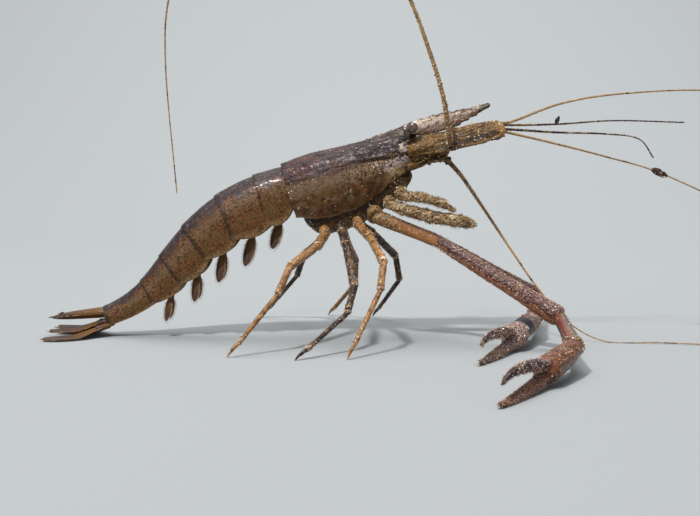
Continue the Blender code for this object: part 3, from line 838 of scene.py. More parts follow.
def carapace_paint():
    c, small = settings("shell"), settings("small")
    p = Paint("carapace_shell")
    along, up, _ = p.axes()
    [hem] = p.attributes("hem")
    cloud, fine, grit = p.noises(3.2)
    ragged = cloud.sway(1.4) + fine.sway(4.0) + grit.sway(3.0)
    height = up + cloud.sway(2.0) + fine.sway(1.6)
    dirty = along.rise(-21.0, -13.0) * 0.8 + 0.2
    p.ground(c.olive, c.rust, (cloud + fine.sway(0.5)).rise(0.44, 0.6))
    mottle = p.noise(1.5, 5.0)
    p.over(c.silt, mottle.rise(0.52, 0.6) * 0.5)
    p.over(c.dust, mottle.rise(0.46, 0.4) * 0.5)
    p.over(c.silt, p.specks(1.1, 0.75, 0.36) * p.noise(2.4).rise(0.42, 0.52) * 0.85)
    dusty = height.rise(-9.0, -6.4)
    p.over(c.dust, dusty * 0.6)
    back = height.rise(-5.4, -3.6)
    p.over(c.plum, back)
    streak = p.streaks(0.8, 0.22)
    p.over(c.silt, (streak + fine.sway(0.3)).rise(0.5, 0.56) * back * 0.85)
    p.over(tone(92, 62, 54), along.rise(-13.0, -18.0) * back * cloud.rise(0.4, 0.55) * 0.6)
    # pale lavender streaks over the back: partly the shell's own streaks, partly painted glints
    faint = along.rise(-22.0, -12.0) * 0.32 + 0.18
    pale = (streak + grit.sway(0.3)).rise(0.43, 0.37)
    p.over(c.lavender, pale * back * up.rise(0.5, -2.0) * faint)
    ridge = height.rise(-1.6, -0.6) * along.rise(-10.0, -6.0)
    p.over(c.dust, ridge * streak.rise(0.55, 0.48) * 0.6)
    line = up + along * GROOVE_SLOPE + GROOVE_DROP
    # painted highlight: dust colour lightens the groove's raised lip where light catches it
    lip = (line + fine.sway(0.6)).near(0.8, 0.5) * along.rise(-12.0, -5.0)
    p.over(c.dust, lip * 0.6)
    p.over(tone(206, 190, 182), blotch(along, up, (-3.3, -3.9), (1.2, 1.0), ragged * 0.25) * 0.9)
    p.over(c.lavender, blotch(along, up, (-5.7, -7.2), (3.2, 1.5), ragged * 0.35) * 0.9)
    p.over(c.silt, grit.rise(0.52, 0.59) * height.rise(-9.5, -8.0) * dirty * 0.85)
    p.over(c.dry, grit.rise(0.43, 0.37) * height.near(-6.4, 2.6) * dirty * 0.6)
    p.over(c.silt, blotch(along, up, (-2.9, -2.3), (1.5, 0.7), ragged * 0.2) * 0.95)
    p.over(c.silt, along.rise(-2.55, -2.3) * up.rise(-3.4, -3.0) * 0.9)
    # painted shade: silt colour darkens the side groove
    groove = (line + fine.sway(1.1)).near(0.0, 0.6) * along.rise(-11.0, -5.5)
    p.over(c.silt, (groove * fine.rise(0.3, 0.45)).most(groove * along.rise(-5.6, -4.4)) * 0.95)
    cast = (hem + fine.sway(0.35)).rise(0.7, 0.9) * (along + cloud.sway(4.0)).rise(-12.0, -8.0)
    p.over(c.mud, cast * 0.9)
    low = (along + cloud.sway(5.0)).rise(-10.0, -7.0) * (up + fine.sway(2.0)).rise(-7.0, -8.2)
    p.over(tone(160, 128, 88), low * 0.9)
    p.over(c.mud, low * cloud.rise(0.48, 0.58) * 0.7)
    cast = cast.most(low)
    patch = p.noise(1.3, 4.0)
    p.over(c.silt, cast * grit.rise(0.54, 0.6) * 0.85)
    p.over(c.silt, cast.most(dirty * height.rise(-6.0, -7.0) * 0.6) * patch.rise(0.54, 0.59) * 0.85)
    p.over(tone(192, 166, 128), cast * patch.rise(0.46, 0.41) * 0.7)
    p.over(c.dry, (cast * fine.rise(0.5, 0.58)).most((hem + fine.sway(0.1)).rise(0.93, 0.98) * 0.4))
    p.over(small.sand, p.specks(0.5, 0.1) * height.near(-6.4, 2.4) * dirty * 0.9)
    return p.skin(fine + streak * back, grit, 0.26, 0.2, 0.28, 0.14)


def rostrum_paint():
    c, small = settings("shell"), settings("small")
    p = Paint("rostrum_blade")
    along, _, _ = p.axes()
    [level] = p.attributes("level")
    cloud, fine, grit = p.noises(1.2)
    streak = p.streaks(0.6, 0.25)
    tall = level + streak.sway(0.6) + fine.sway(0.35)
    edge = level + fine.sway(0.2)
    p.ground(c.dust, c.flank, tall.rise(0.0, 0.2))
    p.over(c.grey, tall.near(0.5, 0.16) * 0.9)
    p.over(small.sand, tall.near(0.78, 0.14) * along.rise(-3.0, 1.0) * 0.45)
    p.over(c.silt, streak.rise(0.55, 0.61) * 0.65)
    p.over(c.plum, along.rise(-2.6, -5.0) * (0.4 + streak.rise(0.46, 0.52) * 0.5))
    front = along.rise(7.5, 10.5)
    p.over(c.rust, front * tall.rise(0.6, 0.4) * fine.rise(0.46, 0.56) * 0.8)
    p.over(c.mud, front * cloud.rise(0.5, 0.6) * 0.7)
    p.over(c.silt, grit.rise(0.55, 0.61) * 0.75)
    p.over(c.silt, edge.rise(0.86, 0.96) * fine.rise(0.42, 0.52) * 0.9)
    p.over(c.silt, edge.rise(0.16, 0.05) * along.rise(6.0, 8.0) * 0.85)
    p.over(tone(66, 62, 46), along.rise(15.6, 16.6) * 0.9)
    p.over(small.sand, p.specks(0.5, 0.1) * along.rise(-2.0, 0.0))
    return p.skin(streak, grit, 0.22, 0.4, 0.16)


def tail_paint():
    c = settings("shell")
    p = Paint("tail_shell")
    hem, share = p.attributes("hem", "share")
    cloud, fine, grit = p.noises(3.0)
    p.ground(c.olive, c.rust, (cloud + fine.sway(0.4)).rise(0.44, 0.6))
    p.over(c.dust, (hem + fine.sway(0.5)).near(0.58, 0.16) * 0.45)
    back = (hem + cloud.sway(0.5) + fine.sway(0.3)).rise(0.54, 0.32)
    p.over(c.plum, back)
    p.over(c.silt, fine.rise(0.54, 0.62) * 0.55)
    p.over(c.lavender, fine.rise(0.4, 0.34) * back * 0.3)
    p.over(c.silt, (share + fine.sway(0.08)).near(0.86, 0.07) * 0.7)
    p.over(c.dry, (hem + fine.sway(0.2)).rise(0.9, 0.99) * 0.6)
    p.over(c.silt, (grit + cloud.sway(0.4)).rise(0.55, 0.61) * 0.7)
    p.over(c.dry, grit.rise(0.38, 0.34) * 0.3)
    return p.skin(fine, grit, 0.2, 0.45, 0.14, 0.06)


def blade_paint():
    """Tail fan, telson and swimmerets: thin, ribbed and darker towards the edge."""
    c = settings("shell")
    p = Paint("fan_blade")
    share, around = p.attributes("share", "around")
    cloud, fine, _ = p.noises(2.0)
    p.ground(c.olive, c.plum, (share + cloud.sway(0.5)).rise(0.25, 0.8))
    ribs = (around * tau * 9.0).sine().rise(0.3, 0.9)
    p.over(c.mud, ribs * 0.35)
    p.over(c.rust, fine.rise(0.55, 0.62) * 0.6)
    p.over(c.silt, p.specks(0.6, 0.35) * 0.7)
    return p.skin(ribs, fine, 0.2, 0.5, 0.05, 0.06)


def mud_paint(name, bare, dark=0.55, pale=0.0):
    """Golden mud that has dried over ridged shell, with dark lengthwise grooves."""
    c, small = settings("shell"), settings("small")
    p = Paint(name)
    cloud, fine, grit = p.noises(1.7)
    streak = p.streaks(0.55, 0.16)
    p.ground(c.mud, bare, cloud.rise(0.44 - pale * 0.3, 0.58 - pale * 0.3))
    flakes = (fine + streak.sway(0.5)).rise(0.5 - pale * 0.2, 0.6 - pale * 0.2)
    p.over(c.dry, flakes * (0.6 + pale * 0.6))
    p.over(c.olive, p.noise(1.0).rise(0.52, 0.6) * 0.5)
    p.over(small.sand, grit.rise(0.44, 0.38) * pale * 2.0)
    grooves = (streak + fine.sway(0.25)).rise(0.53, 0.6)
    p.over(c.silt, grooves * dark * 1.5)
    p.over(c.silt, grit.rise(0.57, 0.63) * 0.75)
    p.over(small.sand, p.specks(0.45, 0.12 + pale * 0.4) * 0.9)
    height = fine * 0.7 + cloud * 0.5 + grit * 0.5 - grooves * 0.9
    return p.skin(height, grit, 0.3, 0.12, 0.4, 0.05)


def scale_paint():
    """The leaf beside the feelers: mud with two dark furrows along it and a golden end."""
    c, small = settings("shell"), settings("small")
    p = Paint("antennal_scale")
    around, share = p.attributes("around", "share")
    across = (around * tau + pi / 2).sine()
    cloud, fine, grit = p.noises(1.7)
    streak = p.streaks(0.5, 0.16)
    uneven = cloud.sway(0.5) + fine.sway(0.35)
    p.ground(c.mud, c.dry, (streak + fine.sway(0.5)).rise(0.5, 0.6) * 0.6)
    p.over(c.olive, cloud.rise(0.48, 0.58) * 0.75)
    low = (across + uneven).near(0.44, 0.56) * share.rise(0.1, 0.3) * share.rise(0.98, 0.9)
    p.over(tone(52, 32, 20), low)
    p.over(c.mud, (across + uneven).rise(0.84, 0.94) * fine.rise(0.4, 0.5) * 0.7)
    p.over(c.silt, (across + uneven * 0.8).near(-0.16, 0.14) * share.rise(0.92, 0.8) * 0.9)
    p.over(c.silt, (streak + fine.sway(0.3)).rise(0.53, 0.59) * 0.85)
    tip = (share + fine.sway(0.2)).rise(0.86, 0.94)
    p.over(tone(150, 112, 58), tip * cloud.rise(0.36, 0.46) * 0.75)
    p.over(c.silt, grit.rise(0.57, 0.63) * 0.8)
    p.over(small.sand, p.specks(0.45, 0.12) * 0.9)
    height = fine * 0.7 + cloud * 0.5 + grit * 0.5 + streak * 0.5 - low * 0.5
    return p.skin(height, grit, 0.32, 0.1, 0.45, 0.05)


def arm_paint(name, under, over, spots=0.3, cover=0.5, dirty=0.12, pale=0.0):
    """An arm's shell: one colour below, another above, spotted, with sand in its pits, and painted
    shade along its underside and under the upper colour's edge.
    """
    c, small = settings("limbs"), settings("small")
    p = Paint(name)
    [top] = p.attributes("top")
    cloud, fine, grit = p.noises(2.2)
    height = top + cloud.sway(1.2) + fine.sway(0.8)
    middle = 1 - 2 * cover
    p.ground(under, c.tan, fine.rise(0.58, 0.7) * 0.5)
    # painted shade: maroon darkens the underside
    p.over(c.maroon, (top + fine.sway(0.4)).rise(-0.72, -0.9) * 0.8)
    p.over(over, height.rise(middle - 0.22, middle + 0.18))
    # painted shade: a dark line just under the edge of the upper colour
    p.over(c.night, height.near(middle + 0.1, 0.16) * 0.5)
    p.over(c.pink, height.rise(middle, middle + 0.5) * grit.rise(0.44, 0.38) * pale)
    stains = p.noise(1.1, 4.0).rise(0.52, 0.58) * spots
    p.over(c.night, p.specks(0.7, spots, 0.4).most(stains) * 0.75)
    p.over(small.sand, p.specks(0.45, dirty) * 0.9)
    return p.skin(fine, grit, 0.2, 0.4, 0.14)


def root_paint():
    """The smooth first length of an arm: sandy at the breast, then orange with a dark streak, and
    darker underneath as painted shade.
    """
    c, shell = settings("limbs"), settings("shell")
    p = Paint("arm_root")
    [top] = p.attributes("top")
    along, _, _ = p.axes()
    cloud, fine, grit = p.noises(2.2)
    p.ground(c.amber, c.ember, (top + cloud.sway(1.2)).rise(-0.1, 0.5))
    p.over(c.maroon, (top + fine.sway(0.5)).rise(0.66, 0.9) * 0.7)
    # painted shade: maroon darkens the underside
    p.over(c.maroon, (top + fine.sway(0.4)).rise(-0.7, -0.9) * 0.7)
    p.over(c.tan, fine.rise(0.54, 0.64) * 0.5)
    p.over(c.umber, grit.rise(0.58, 0.64) * 0.5)
    sandy = (along + fine.sway(4.0)).rise(-8.5, -11.5)
    p.over(shell.mud, sandy)
    p.over(shell.dry, sandy * fine.rise(0.46, 0.56) * 0.9)
    p.over(c.night, grit.rise(0.53, 0.6) * sandy * 0.8)
    p.over(settings("small").sand, p.specks(0.45, 0.06))
    return p.skin(fine, grit * sandy, 0.2, 0.45, 0.1, 0.2)


def forearm_paint():
    """A forearm: dark maroon, orange-red down one side, and paler along the top as a painted
    highlight.
    """
    c = settings("limbs")
    p = Paint("arm_forearm")
    around, top, share = p.attributes("around", "top", "share")
    _, fine, grit = p.noises(2.2)
    turned = (around * tau + fine.sway(0.8)).sine()
    p.ground(tone(72, 32, 24), tone(54, 28, 22), turned.rise(-0.2, 0.5))
    p.over(tone(112, 54, 36), turned.rise(-0.75, -0.97) * 0.9)
    # painted highlight: a pale strip along the top
    p.over(tone(164, 148, 104), (top + fine.sway(0.2)).rise(0.97, 1.0) * 0.6)
    reach = share + fine.sway(0.06)
    ends = reach.rise(0.9, 0.95).most(reach.rise(0.12, 0.06))
    p.over(c.umber, ends * 0.8)
    p.over(c.tan, ends * grit.rise(0.5, 0.56) * 0.8)
    p.over(c.night, p.specks(0.6, 0.15) * 0.6)
    p.over(settings("small").sand, p.specks(0.45, 0.06))
    return p.skin(fine, grit, 0.2, 0.5, 0.1, 0.05)


def grey_claw_paint():
    """The left claw: grey-pink grains all over, a smooth black band, and brown below as painted
    shade.
    """
    c = settings("limbs")
    p = Paint("left_claw")
    share, top = p.attributes("share", "top")
    cloud, fine, grit = p.noises(2.0)
    p.ground(c.grey, c.pink, fine.rise(0.46, 0.58) * 0.8)
    p.over(c.night, grit.rise(0.52, 0.58) * 0.85)
    # painted shade: ember browns the underside
    p.over(c.ember, (top + cloud.sway(0.8)).rise(-0.4, -0.75) * 0.8)
    band = (share + fine.sway(0.02)).near(BAND_AT, 0.075).rise(0.0, 0.5)
    p.over(tone(38, 34, 44), band)
    p.over(c.umber, (share + fine.sway(0.1)).rise(0.72, 0.85) * 0.7)
    p.over(settings("small").sand, p.specks(0.45, 0.14) * (1.0 - band))
    return p.skin(fine, grit * (1.0 - band), 0.28, 0.5, 0.1, 0.22)


def leg_paint(name, pale, dark, share_dark):
    """A walking leg: mottled, dirty and sandy, darker underneath as painted shade, with pale
    sand-coloured specks at each joint painted as highlights.
    """
    c = settings("limbs")
    p = Paint(name)
    share, top = p.attributes("share", "top")
    cloud, fine, grit = p.noises(2.4)
    level = 0.64 - share_dark * 0.3
    p.ground(pale, dark, (cloud + fine.sway(0.9)).rise(level, level + 0.2) * 0.8)
    patch = p.noise(1.3, 4.0)
    p.over(c.tan, patch.rise(0.49, 0.42) * (1.0 - share_dark * 1.2))
    p.over(dark, patch.rise(0.54, 0.6) * 0.6)
    p.over(c.night, grit.rise(0.54, 0.61) * 0.65)
    # painted shade: the underside darker
    p.over(dark, (top + fine.sway(0.4)).rise(-0.4, -0.8) * 0.7)
    ring = (share + fine.sway(0.1)).rise(0.9, 0.98)
    p.over(c.joint, ring * 0.5)
    # sand specks all over; the pale specks at each joint are painted highlights
    p.over(settings("small").sand, p.specks(0.38, 0.14).most(ring * grit.rise(0.47, 0.42) * 0.6))
    return p.skin(fine, grit, 0.25, 0.35, 0.12, 0.08)


def feeler_paint(name, pale, dark, ring, share_dark=0.4):
    """A ringed lash: every joint edged dark, with longer dark lengths here and there."""
    c = settings("limbs")
    p = Paint(name)
    [run] = p.attributes("run")
    fine = p.noise(0.5, 4.0)
    lengths = p.node("TexNoise", {"noise_dimensions": "1D"}, run, 0.22, 3.0, 0.6)
    level = 0.68 - share_dark * 0.36
    p.ground(pale, c.tan, p.noise(2.5).rise(0.45, 0.6) * 0.8)
    p.over(dark, (lengths + fine.sway(0.35)).rise(level, level + 0.12) * 0.85)
    turn = (run / ring).part()
    edge = turn.near(0.0, 0.25).most(turn.near(1.0, 0.25))
    p.over(dark, edge * 0.4)
    p.over(settings("small").sand, p.specks(0.5, 0.12) * 0.8)
    return p.skin(fine, fine, 0.3, 0.3, 0.06, 0.0)


def eye_paint():
    c, limbs = settings("eye"), settings("limbs")
    p = Paint("cornea", specular_ior_level=0.5)
    along, up, side = p.axes()
    fine = p.noise(0.6)
    cells = p.cells(0.11)
    p.ground(c.cornea, tone(70, 54, 50), (fine + cells * 0.3).rise(0.4, 0.8))
    ahead, above = along + 0.42, up + 0.32
    away = (ahead * ahead + above * above) ** 0.5 + fine.sway(0.16)
    outside = away.rise(1.24, 1.34) * abs(side).rise(4.85, 5.05)
    p.over(limbs.tan, outside * (above * -1.0 - ahead * 0.3).rise(0.3, 0.8) * 0.9)
    p.over(c.rim, outside * (ahead - above * 0.1).rise(0.35, 0.75))
    return p.finish(roughness=fine * 0.16 + 0.12, coat_weight=fine * 0.3 + 0.4,
                    normal=p.bump(cells, 0.012))


def stalk_paint():
    c, shell = settings("limbs"), settings("shell")
    p = Paint("eye_stalk")
    cloud, fine, grit = p.noises(1.2)
    p.ground(shell.dry, shell.mud, fine.rise(0.4, 0.55))
    p.over(c.night, cloud.rise(0.54, 0.62) * 0.6)
    return p.skin(fine, grit, 0.3, 0.3, 0.1)


def hair_paint(name, pale, dark):
    p = Paint(name)
    fine = p.noise(0.8, 2.0)
    return p.finish(base_color=p.mix(pale, dark, fine.rise(0.4, 0.6)), roughness=fine * 0.2 + 0.45)


def sand_paint():
    """Each grain its own colour, from white quartz to dark silt."""
    c, shell = settings("small"), settings("shell")
    p = Paint("sand_grains", specular_ior_level=0.5)
    pick = p.node("SeparateColor", {}, p.cells(0.5, out=1))
    p.ground(c.ochre, shell.dry, pick.rise(0.3, 0.34))
    p.over(c.sand, pick.rise(0.66, 0.7))
    p.over(shell.silt, pick.rise(0.16, 0.12))
    fine = p.noise(0.2, 2.0)
    return p.finish(roughness=fine * 0.4 + 0.15, coat_weight=fine * 0.6)


def belly_paint():
    c, shell = settings("limbs"), settings("shell")
    p = Paint("belly_skin")
    cloud, fine, grit = p.noises(1.6)
    along, up, _ = p.axes()
    p.ground(shell.olive, shell.rust, fine.rise(0.4, 0.56))
    p.over(shell.mud, cloud.rise(0.48, 0.58) * 0.8)
    p.over(shell.dry, fine.rise(0.55, 0.62) * 0.5)
    p.over(c.night, grit.rise(0.5, 0.58) * 0.8)
    # painted shade: silt darkens the face and belly just under the carapace's margin
    p.over(shell.silt, up.rise(-6.8, -6.0) * 0.85)
    shade_below_margin = up + 7.6 - along.most(-16.0) * 0.4
    p.over(shell.silt, (shade_below_margin + fine.sway(0.8)).rise(-1.7, -0.7) * 0.85)
    return p.skin(fine, grit, 0.35, 0.12, 0.2, 0.15)


# ---- carapace, rostrum, breast, eyes

ARCH = radians(150)  # how far round the carapace runs from its crown to each margin
CARAPACE_POWER = 2 / 2.35
ARCH_STEPS = 16


def turned_under(add, inner):
    """Carries a shell's ring from one margin under its hollow belly to the other."""
    for side, up in inner:
        add(side, up, 1.0)
    for side, up in reversed(inner):
        add(-side, up, 1.0)


def front_edge(drop, total):
    """How far the carapace's front edge stands forward, at a distance below its crown."""
    orbit = -0.35 * sin(pi * (drop - 0.5) / 2.9) if 0.5 < drop < 3.4 else 0.0
    corner = -0.9 * ease(0.8, 1.0, drop / total)
    horn = 0.5 * max(0.0, 1 - abs(drop - 4.1) / 0.7)
    return orbit + corner + horn


def carapace_ring(along, scale=1.0, edge=0.0):
    """(ring, its hem values): the shell's arch, turned under at both margins to a hollow belly."""
    top, low, half = (table_at(CARAPACE, along, column) for column in (1, 2, 3))
    least = -(abs(cos(ARCH)) ** CARAPACE_POWER)
    middle = (top + low) / 2
    ring, hem = [], []

    def add(side, up, share):
        ahead = along + edge * front_edge(top - up, top - low)
        ring.append(head(ahead, middle + (up - middle) * scale, side * scale))
        hem.append(share)

    for k in range(-ARCH_STEPS, ARCH_STEPS + 1):
        share = k / ARCH_STEPS
        angle = ARCH * share
        c = copysign(abs(cos(angle)) ** CARAPACE_POWER, cos(angle))
        s = copysign(abs(sin(angle)) ** CARAPACE_POWER, angle)
        add(half * s, top + (low - top) * (1 - c) / (1 - least), abs(share))
    margin = half * sin(ARCH) ** CARAPACE_POWER
    turned_under(add, ((margin - 0.5, low + 0.12), (margin - 0.6, low + 1.4),
                       (half * 0.45, low + 2.6), (half * 0.2, low + 2.9)))
    return ring, hem


def hump(distance, width):
    """1 at no distance, falling to nothing within about twice the width."""
    return exp(-((distance / width) ** 2))


def carapace_crest(body):
    """Sinks the side groove below its raised lip, and the furrow across the neck."""
    points, hem = points_of(body), values_of(body, "hem")
    along, up, side = head_axes(points)
    pull = np.zeros(len(points))
    for i, (a, u, h) in enumerate(zip(along, up, hem)):
        off = u + GROOVE_DROP + a * GROOVE_SLOPE
        strength = ease(-17.0, -8.0, a) * ease(-2.0, -2.7, a) * ease(0.1, 0.2, h)
        pull[i] = strength * (0.42 * hump(off, 0.3) - 0.2 * hump(off - 0.7, 0.4))
        neck = -12.5 - (0.55 - h) * 7.0
        pull[i] += 0.22 * hump(a - neck, 0.55) * ease(0.1, 0.25, h) * ease(0.8, 0.6, h)
    set_points(body, from_head_axes(along, up - pull * 0.2, side * (1 - pull / 6.0)))


# (along, scale, share of the front edge's outline) of the carapace's rings
CARAPACE_RINGS = (
    (-4.6, 0.55, 0.0), (-3.0, 0.8, 0.0), (-2.7, 0.93, 0.6), (-2.25, 0.965, 1.0),
    (-2.0, 0.985, 1.0), (-2.02, 1.0, 1.0), (-2.5, 1.0, 0.9), (-3.4, 1.0, 0.6),
    (-4.4, 1.0, 0.3), (-5.6, 1.0, 0.1),
    *((-7.0 - 1.55 * k, 1.0, 0.0) for k in range(15)),
    (-29.6, 1.0, 0.0), (-30.3, 1.012, 0.0), (-30.75, 1.012, 0.0), (-30.8, 0.99, 0.0),
    (-30.2, 0.955, 0.0), (-28.6, 0.9, 0.0),
)


def make_carapace():
    rings, hems = zip(*(carapace_ring(*station) for station in CARAPACE_RINGS))
    body = draw_out("carapace", rings, 3, {"hem": hems})
    carapace_crest(body)
    lumps(body, (0.16, 1.4), (0.14, 0.5))
    parts = [body]
    for name, hand in SIDES:
        parts += [spine(f"antennal_spine_{name}", head(-3.1, -3.1, hand * 4.35),
                        head(-0.5, -3.0, hand * 4.6), 0.42),
                  spine(f"liver_spine_{name}", head(-6.2, -4.2, hand * 5.35),
                        head(-4.4, -4.0, hand * 5.8), 0.34)]
    body = join("carapace_shell", parts)
    finished(body, carapace_paint(), "olive_shell", "carapace")


def rostrum_top(along):
    """Upper edge with its forward-pointing teeth, the first on the keel over the carapace."""
    tooth = ((along + 1.2 + 0.25 * sin(along * 1.7)) / 1.75) % 1.0
    height = 0.36 * ease(-12.5, -9.0, along) * ease(17.0, 15.8, along)
    return table_at(KEEL, along, 1) + height * tooth**1.3 * ease(1.0, 0.9, tooth)


def rostrum_bottom(along):
    """Lower edge with its few teeth in the front half."""
    tooth = ((along - 6.6) / 2.1) % 1.0
    height = 0.45 * ease(6.4, 7.4, along) * ease(16.2, 15.4, along)
    return table_at(KEEL, along, 2) - height * tooth**1.3 * ease(1.0, 0.84, tooth)


# (share of the height, share of the thickness) down one side of the rostrum
ROSTRUM_SIDE = ((1.0, 0.0), (0.94, 0.2), (0.8, 0.36), (0.6, 0.5), (0.44, 1.0), (0.34, 0.66),
                (0.12, 0.34), (0.0, 0.0))
ROSTRUM_STEPS = 132
ROSTRUM_PINCH = (0.8, 0.45)  # the last two sections close to a point


def make_rostrum():
    rings, levels = [], []
    start = KEEL[0][0]
    for k in range(ROSTRUM_STEPS + 1):
        along = start + (ROSTRUM_TIP - start) * k / ROSTRUM_STEPS
        top, bottom = rostrum_top(along), rostrum_bottom(along)
        thick = 0.95 * (1 - 0.55 * ease(0.0, ROSTRUM_TIP, along))
        thick *= 0.5 + 0.5 * ease(-10.0, -2.0, along)
        if k > ROSTRUM_STEPS - 2:
            middle, pinch = (top + bottom) / 2, ROSTRUM_PINCH[k - ROSTRUM_STEPS + 1]
            top, bottom = middle + (top - middle) * pinch, middle + (bottom - middle) * pinch
            thick *= pinch
        half = [head(along, bottom + (top - bottom) * up, thick * wide)
                for up, wide in ROSTRUM_SIDE]
        rings.append(half + [Vector((p.x, -p.y, p.z)) for p in reversed(half[1:-1])])
        level = [up for up, _ in ROSTRUM_SIDE]
        levels.append(level + level[-2:0:-1])
    body = draw_out("rostrum_blade", rings, 1, {"level": levels})
    lumps(body, (0.14, 0.9), (0.1, 0.4))
    finished(body, rostrum_paint(), "olive_shell", "rostrum")


def hip_wave(along, start):
    """-1 to 1, once for each pair of hip plates."""
    return sin((along + start) / HIP_PITCH * tau)


def hip_plates(name, hand):
    """The row of swellings on the breast's flank, one over each leg."""
    band = []
    for k in range(29):
        along = -4.6 - 22.4 * k / 28
        root, normal = leg_root(along, hand)
        swell = (1.9 + 0.18 * hip_wave(along, 5.9)) * ease(-1, 3, k) * ease(29, 25, k)
        centre = root - normal * (swell - 0.1) + head_way(0, 0.9)
        band.append(oval(centre, head_way(-1), LEFT, swell, swell, 12))
    return draw_out(f"hips_{name}", band, 2)


def make_breast():
    rings = []
    for k in range(31):
        along = -3.2 - 26.2 * k / 30
        top = table_at(CARAPACE, along, 2) + 1.6
        taper = min(1.0, 0.5 + (-1.8 - along) * 0.09) * (1 - 0.75 * ease(-27.0, -29.6, along))
        ridge = 0.28 * hip_wave(along, -MOUTH_LEG_AT)
        low = top - 1.6 - ROOT_GAP - STERNUM_DEPTH * taper - ridge * 0.6
        wide, narrow = STERNUM_TOP * taper, (STERNUM_BOTTOM + ridge) * taper
        middle, waist = (top + low) / 2, (wide + narrow) / 2 + ridge * 0.5
        rings.append([
            head(along, top, -wide), head(along, top + 0.2, 0.0), head(along, top, wide),
            head(along, middle, waist), head(along, low + 0.25, narrow), head(along, low, 0.0),
            head(along, low + 0.25, -narrow), head(along, middle, -waist),
        ])
    body = draw_out("breast", rings, 2)
    plug = [oval(head(along, -3.6, 0), head_way(1), LEFT, wide, deep, 16)
            for along, wide, deep in ((-3.4, 3.2, 3.6), (-1.4, 3.4, 3.9), (-0.6, 2.8, 3.2),
                                      (0.3, 1.5, 2.0))]
    parts = [body, draw_out("face", plug, 2)]
    for name, hand in SIDES:
        parts.append(segment(f"jaw_{name}", head(-6.6, -9.8, hand * 2.2),
                             head(-4.4, -10.9, hand * 1.2), 1.1))
        parts.append(hip_plates(name, hand))
    body = join("breast_and_mouth", parts)
    lumps(body, (0.35, 1.2), (0.25, 0.5))
    finished(body, belly_paint(), "olive_shell", "thorax_underside")


# (along the stalk, radius)
EYE_STALK = ((-0.6, 0.7), (0.3, 0.85), (1.2, 0.8), (2.0, 0.95), (2.6, 1.18), (2.9, 1.24),
             (3.1, 1.1))


def make_eyes():
    radius = settings("eye").radius / MM
    cornea, stalk = eye_paint(), stalk_paint()
    ahead = head_way(1).normalized()
    for name, hand in SIDES:
        eye = head(-0.2, -0.4, hand * 4.7)
        root = head(0.2, -1.4, hand * 0.9)
        run = (eye - root).normalized()
        rings = []
        for k in range(15):
            turn = radians(-58 + 148 * k / 14)
            wide = max(radius * cos(turn), 0.05)
            rings.append(oval(eye + run * (radius * sin(turn)), run, ahead, wide, wide, 24))
        finished(draw_out(f"eyeball_{name}", rings, 1), cornea, "eye_brown")
        neck = [oval(root + run * at, run, ahead, wide, wide * 0.9, 16) for at, wide in EYE_STALK]
        base = draw_out(f"eye_stalk_{name}", neck, 1)
        lumps(base, (0.15, 0.6))
        finished(base, stalk, "eye_brown", f"eye_{name}")


# ---- feelers and their scales


def lash(name, points, thick, power, pitch, least):
    """A lash of many short rings, each a little wider at its far end."""
    length = sum((b - a).length for a, b in zip(points, points[1:]))
    last = int(length / pitch) * 2
    route = spline(points, last)
    side, rings = LEFT, []
    for k, here in enumerate(route):
        run = (route[min(k + 1, last)] - route[max(k - 1, 0)]).normalized()
        side = (side - run * side.dot(run)).normalized()
        radius = max(least, thick * (1 - k / last) ** power + 0.1) * (1.07 if k % 2 else 0.88)
        radius *= 1 + 0.14 * sin(k * 1.9) * sin(k * 0.37)
        if k == last:
            radius *= 0.3
        rings.append(oval(here, run, side, radius, radius, 8))
    return draw_out(name, rings, 0)


def stalk_parts(name, joints, radii, flatten=1.0):
    """The stiff lengths of a feeler's stalk, each sunk a little into the one before."""
    return [segment(f"{name}{k}", a - (b - a) * 0.12, b, radius, flatten=flatten)
            for k, (a, b, radius) in enumerate(zip(joints, joints[1:], radii))]


# (along, above the axis, sideways)
ANTENNULE_STALK = ((-1.9, -4.3, 1.6), (5.0, -4.1, 1.7), (9.5, -4.1, 1.7), (13.1, -4.2, 1.6))
# the outer and the inner lash on each side: (forward, above the eye) of their points
ANTENNULE_LASHES = {
    "right": (((22, 1), (33, 5), (46, 7), (65, 7.5), (84, 4.5)),
              ((22, -1.6), (31, -3.7), (43, -6.8), (55, -10.4), (74, -19))),
    "left": (((22, 0.4), (33, 0.6), (46, 1.4), (62, 1)),
             ((22, -0.6), (33, -1.2), (45, -1.5), (53, -2.6), (57, -7))),
}
# how fast each lash swings out sideways
LASH_SPREAD = {"right": (0.7, -0.7), "left": (-0.7, 0.7)}
# mud caught on a lash: (which lash, its point, lift above it, direction, half length, radius)
CLUMPS = {
    "right": ("inner", 5, 0.0, (0.9, 0.0, -0.42), 2.0, 0.85),
    "left": ("outer", 3, 0.9, (0.35, 0.0, 0.9), 1.1, 0.5),
}
CLUMP = ((0.0, 0.2), (0.06, 0.55), (0.2, 0.9), (0.4, 1.05), (0.6, 0.95), (0.8, 0.75),
         (0.93, 0.5), (1.0, 0.2))


def mud_clump(name, paint, points):
    """A clump of mud on the lash that runs through the points."""
    _, at, lift, way, half, radius = CLUMPS[name]
    middle, reach = points[at] + UP * lift, Vector(way) * half
    clump = segment(f"mud_clump_{name}", middle - reach, middle + reach, radius, profile=CLUMP)
    lumps(clump, (0.4, 0.7))
    finished(clump, paint, "horn_feeler")


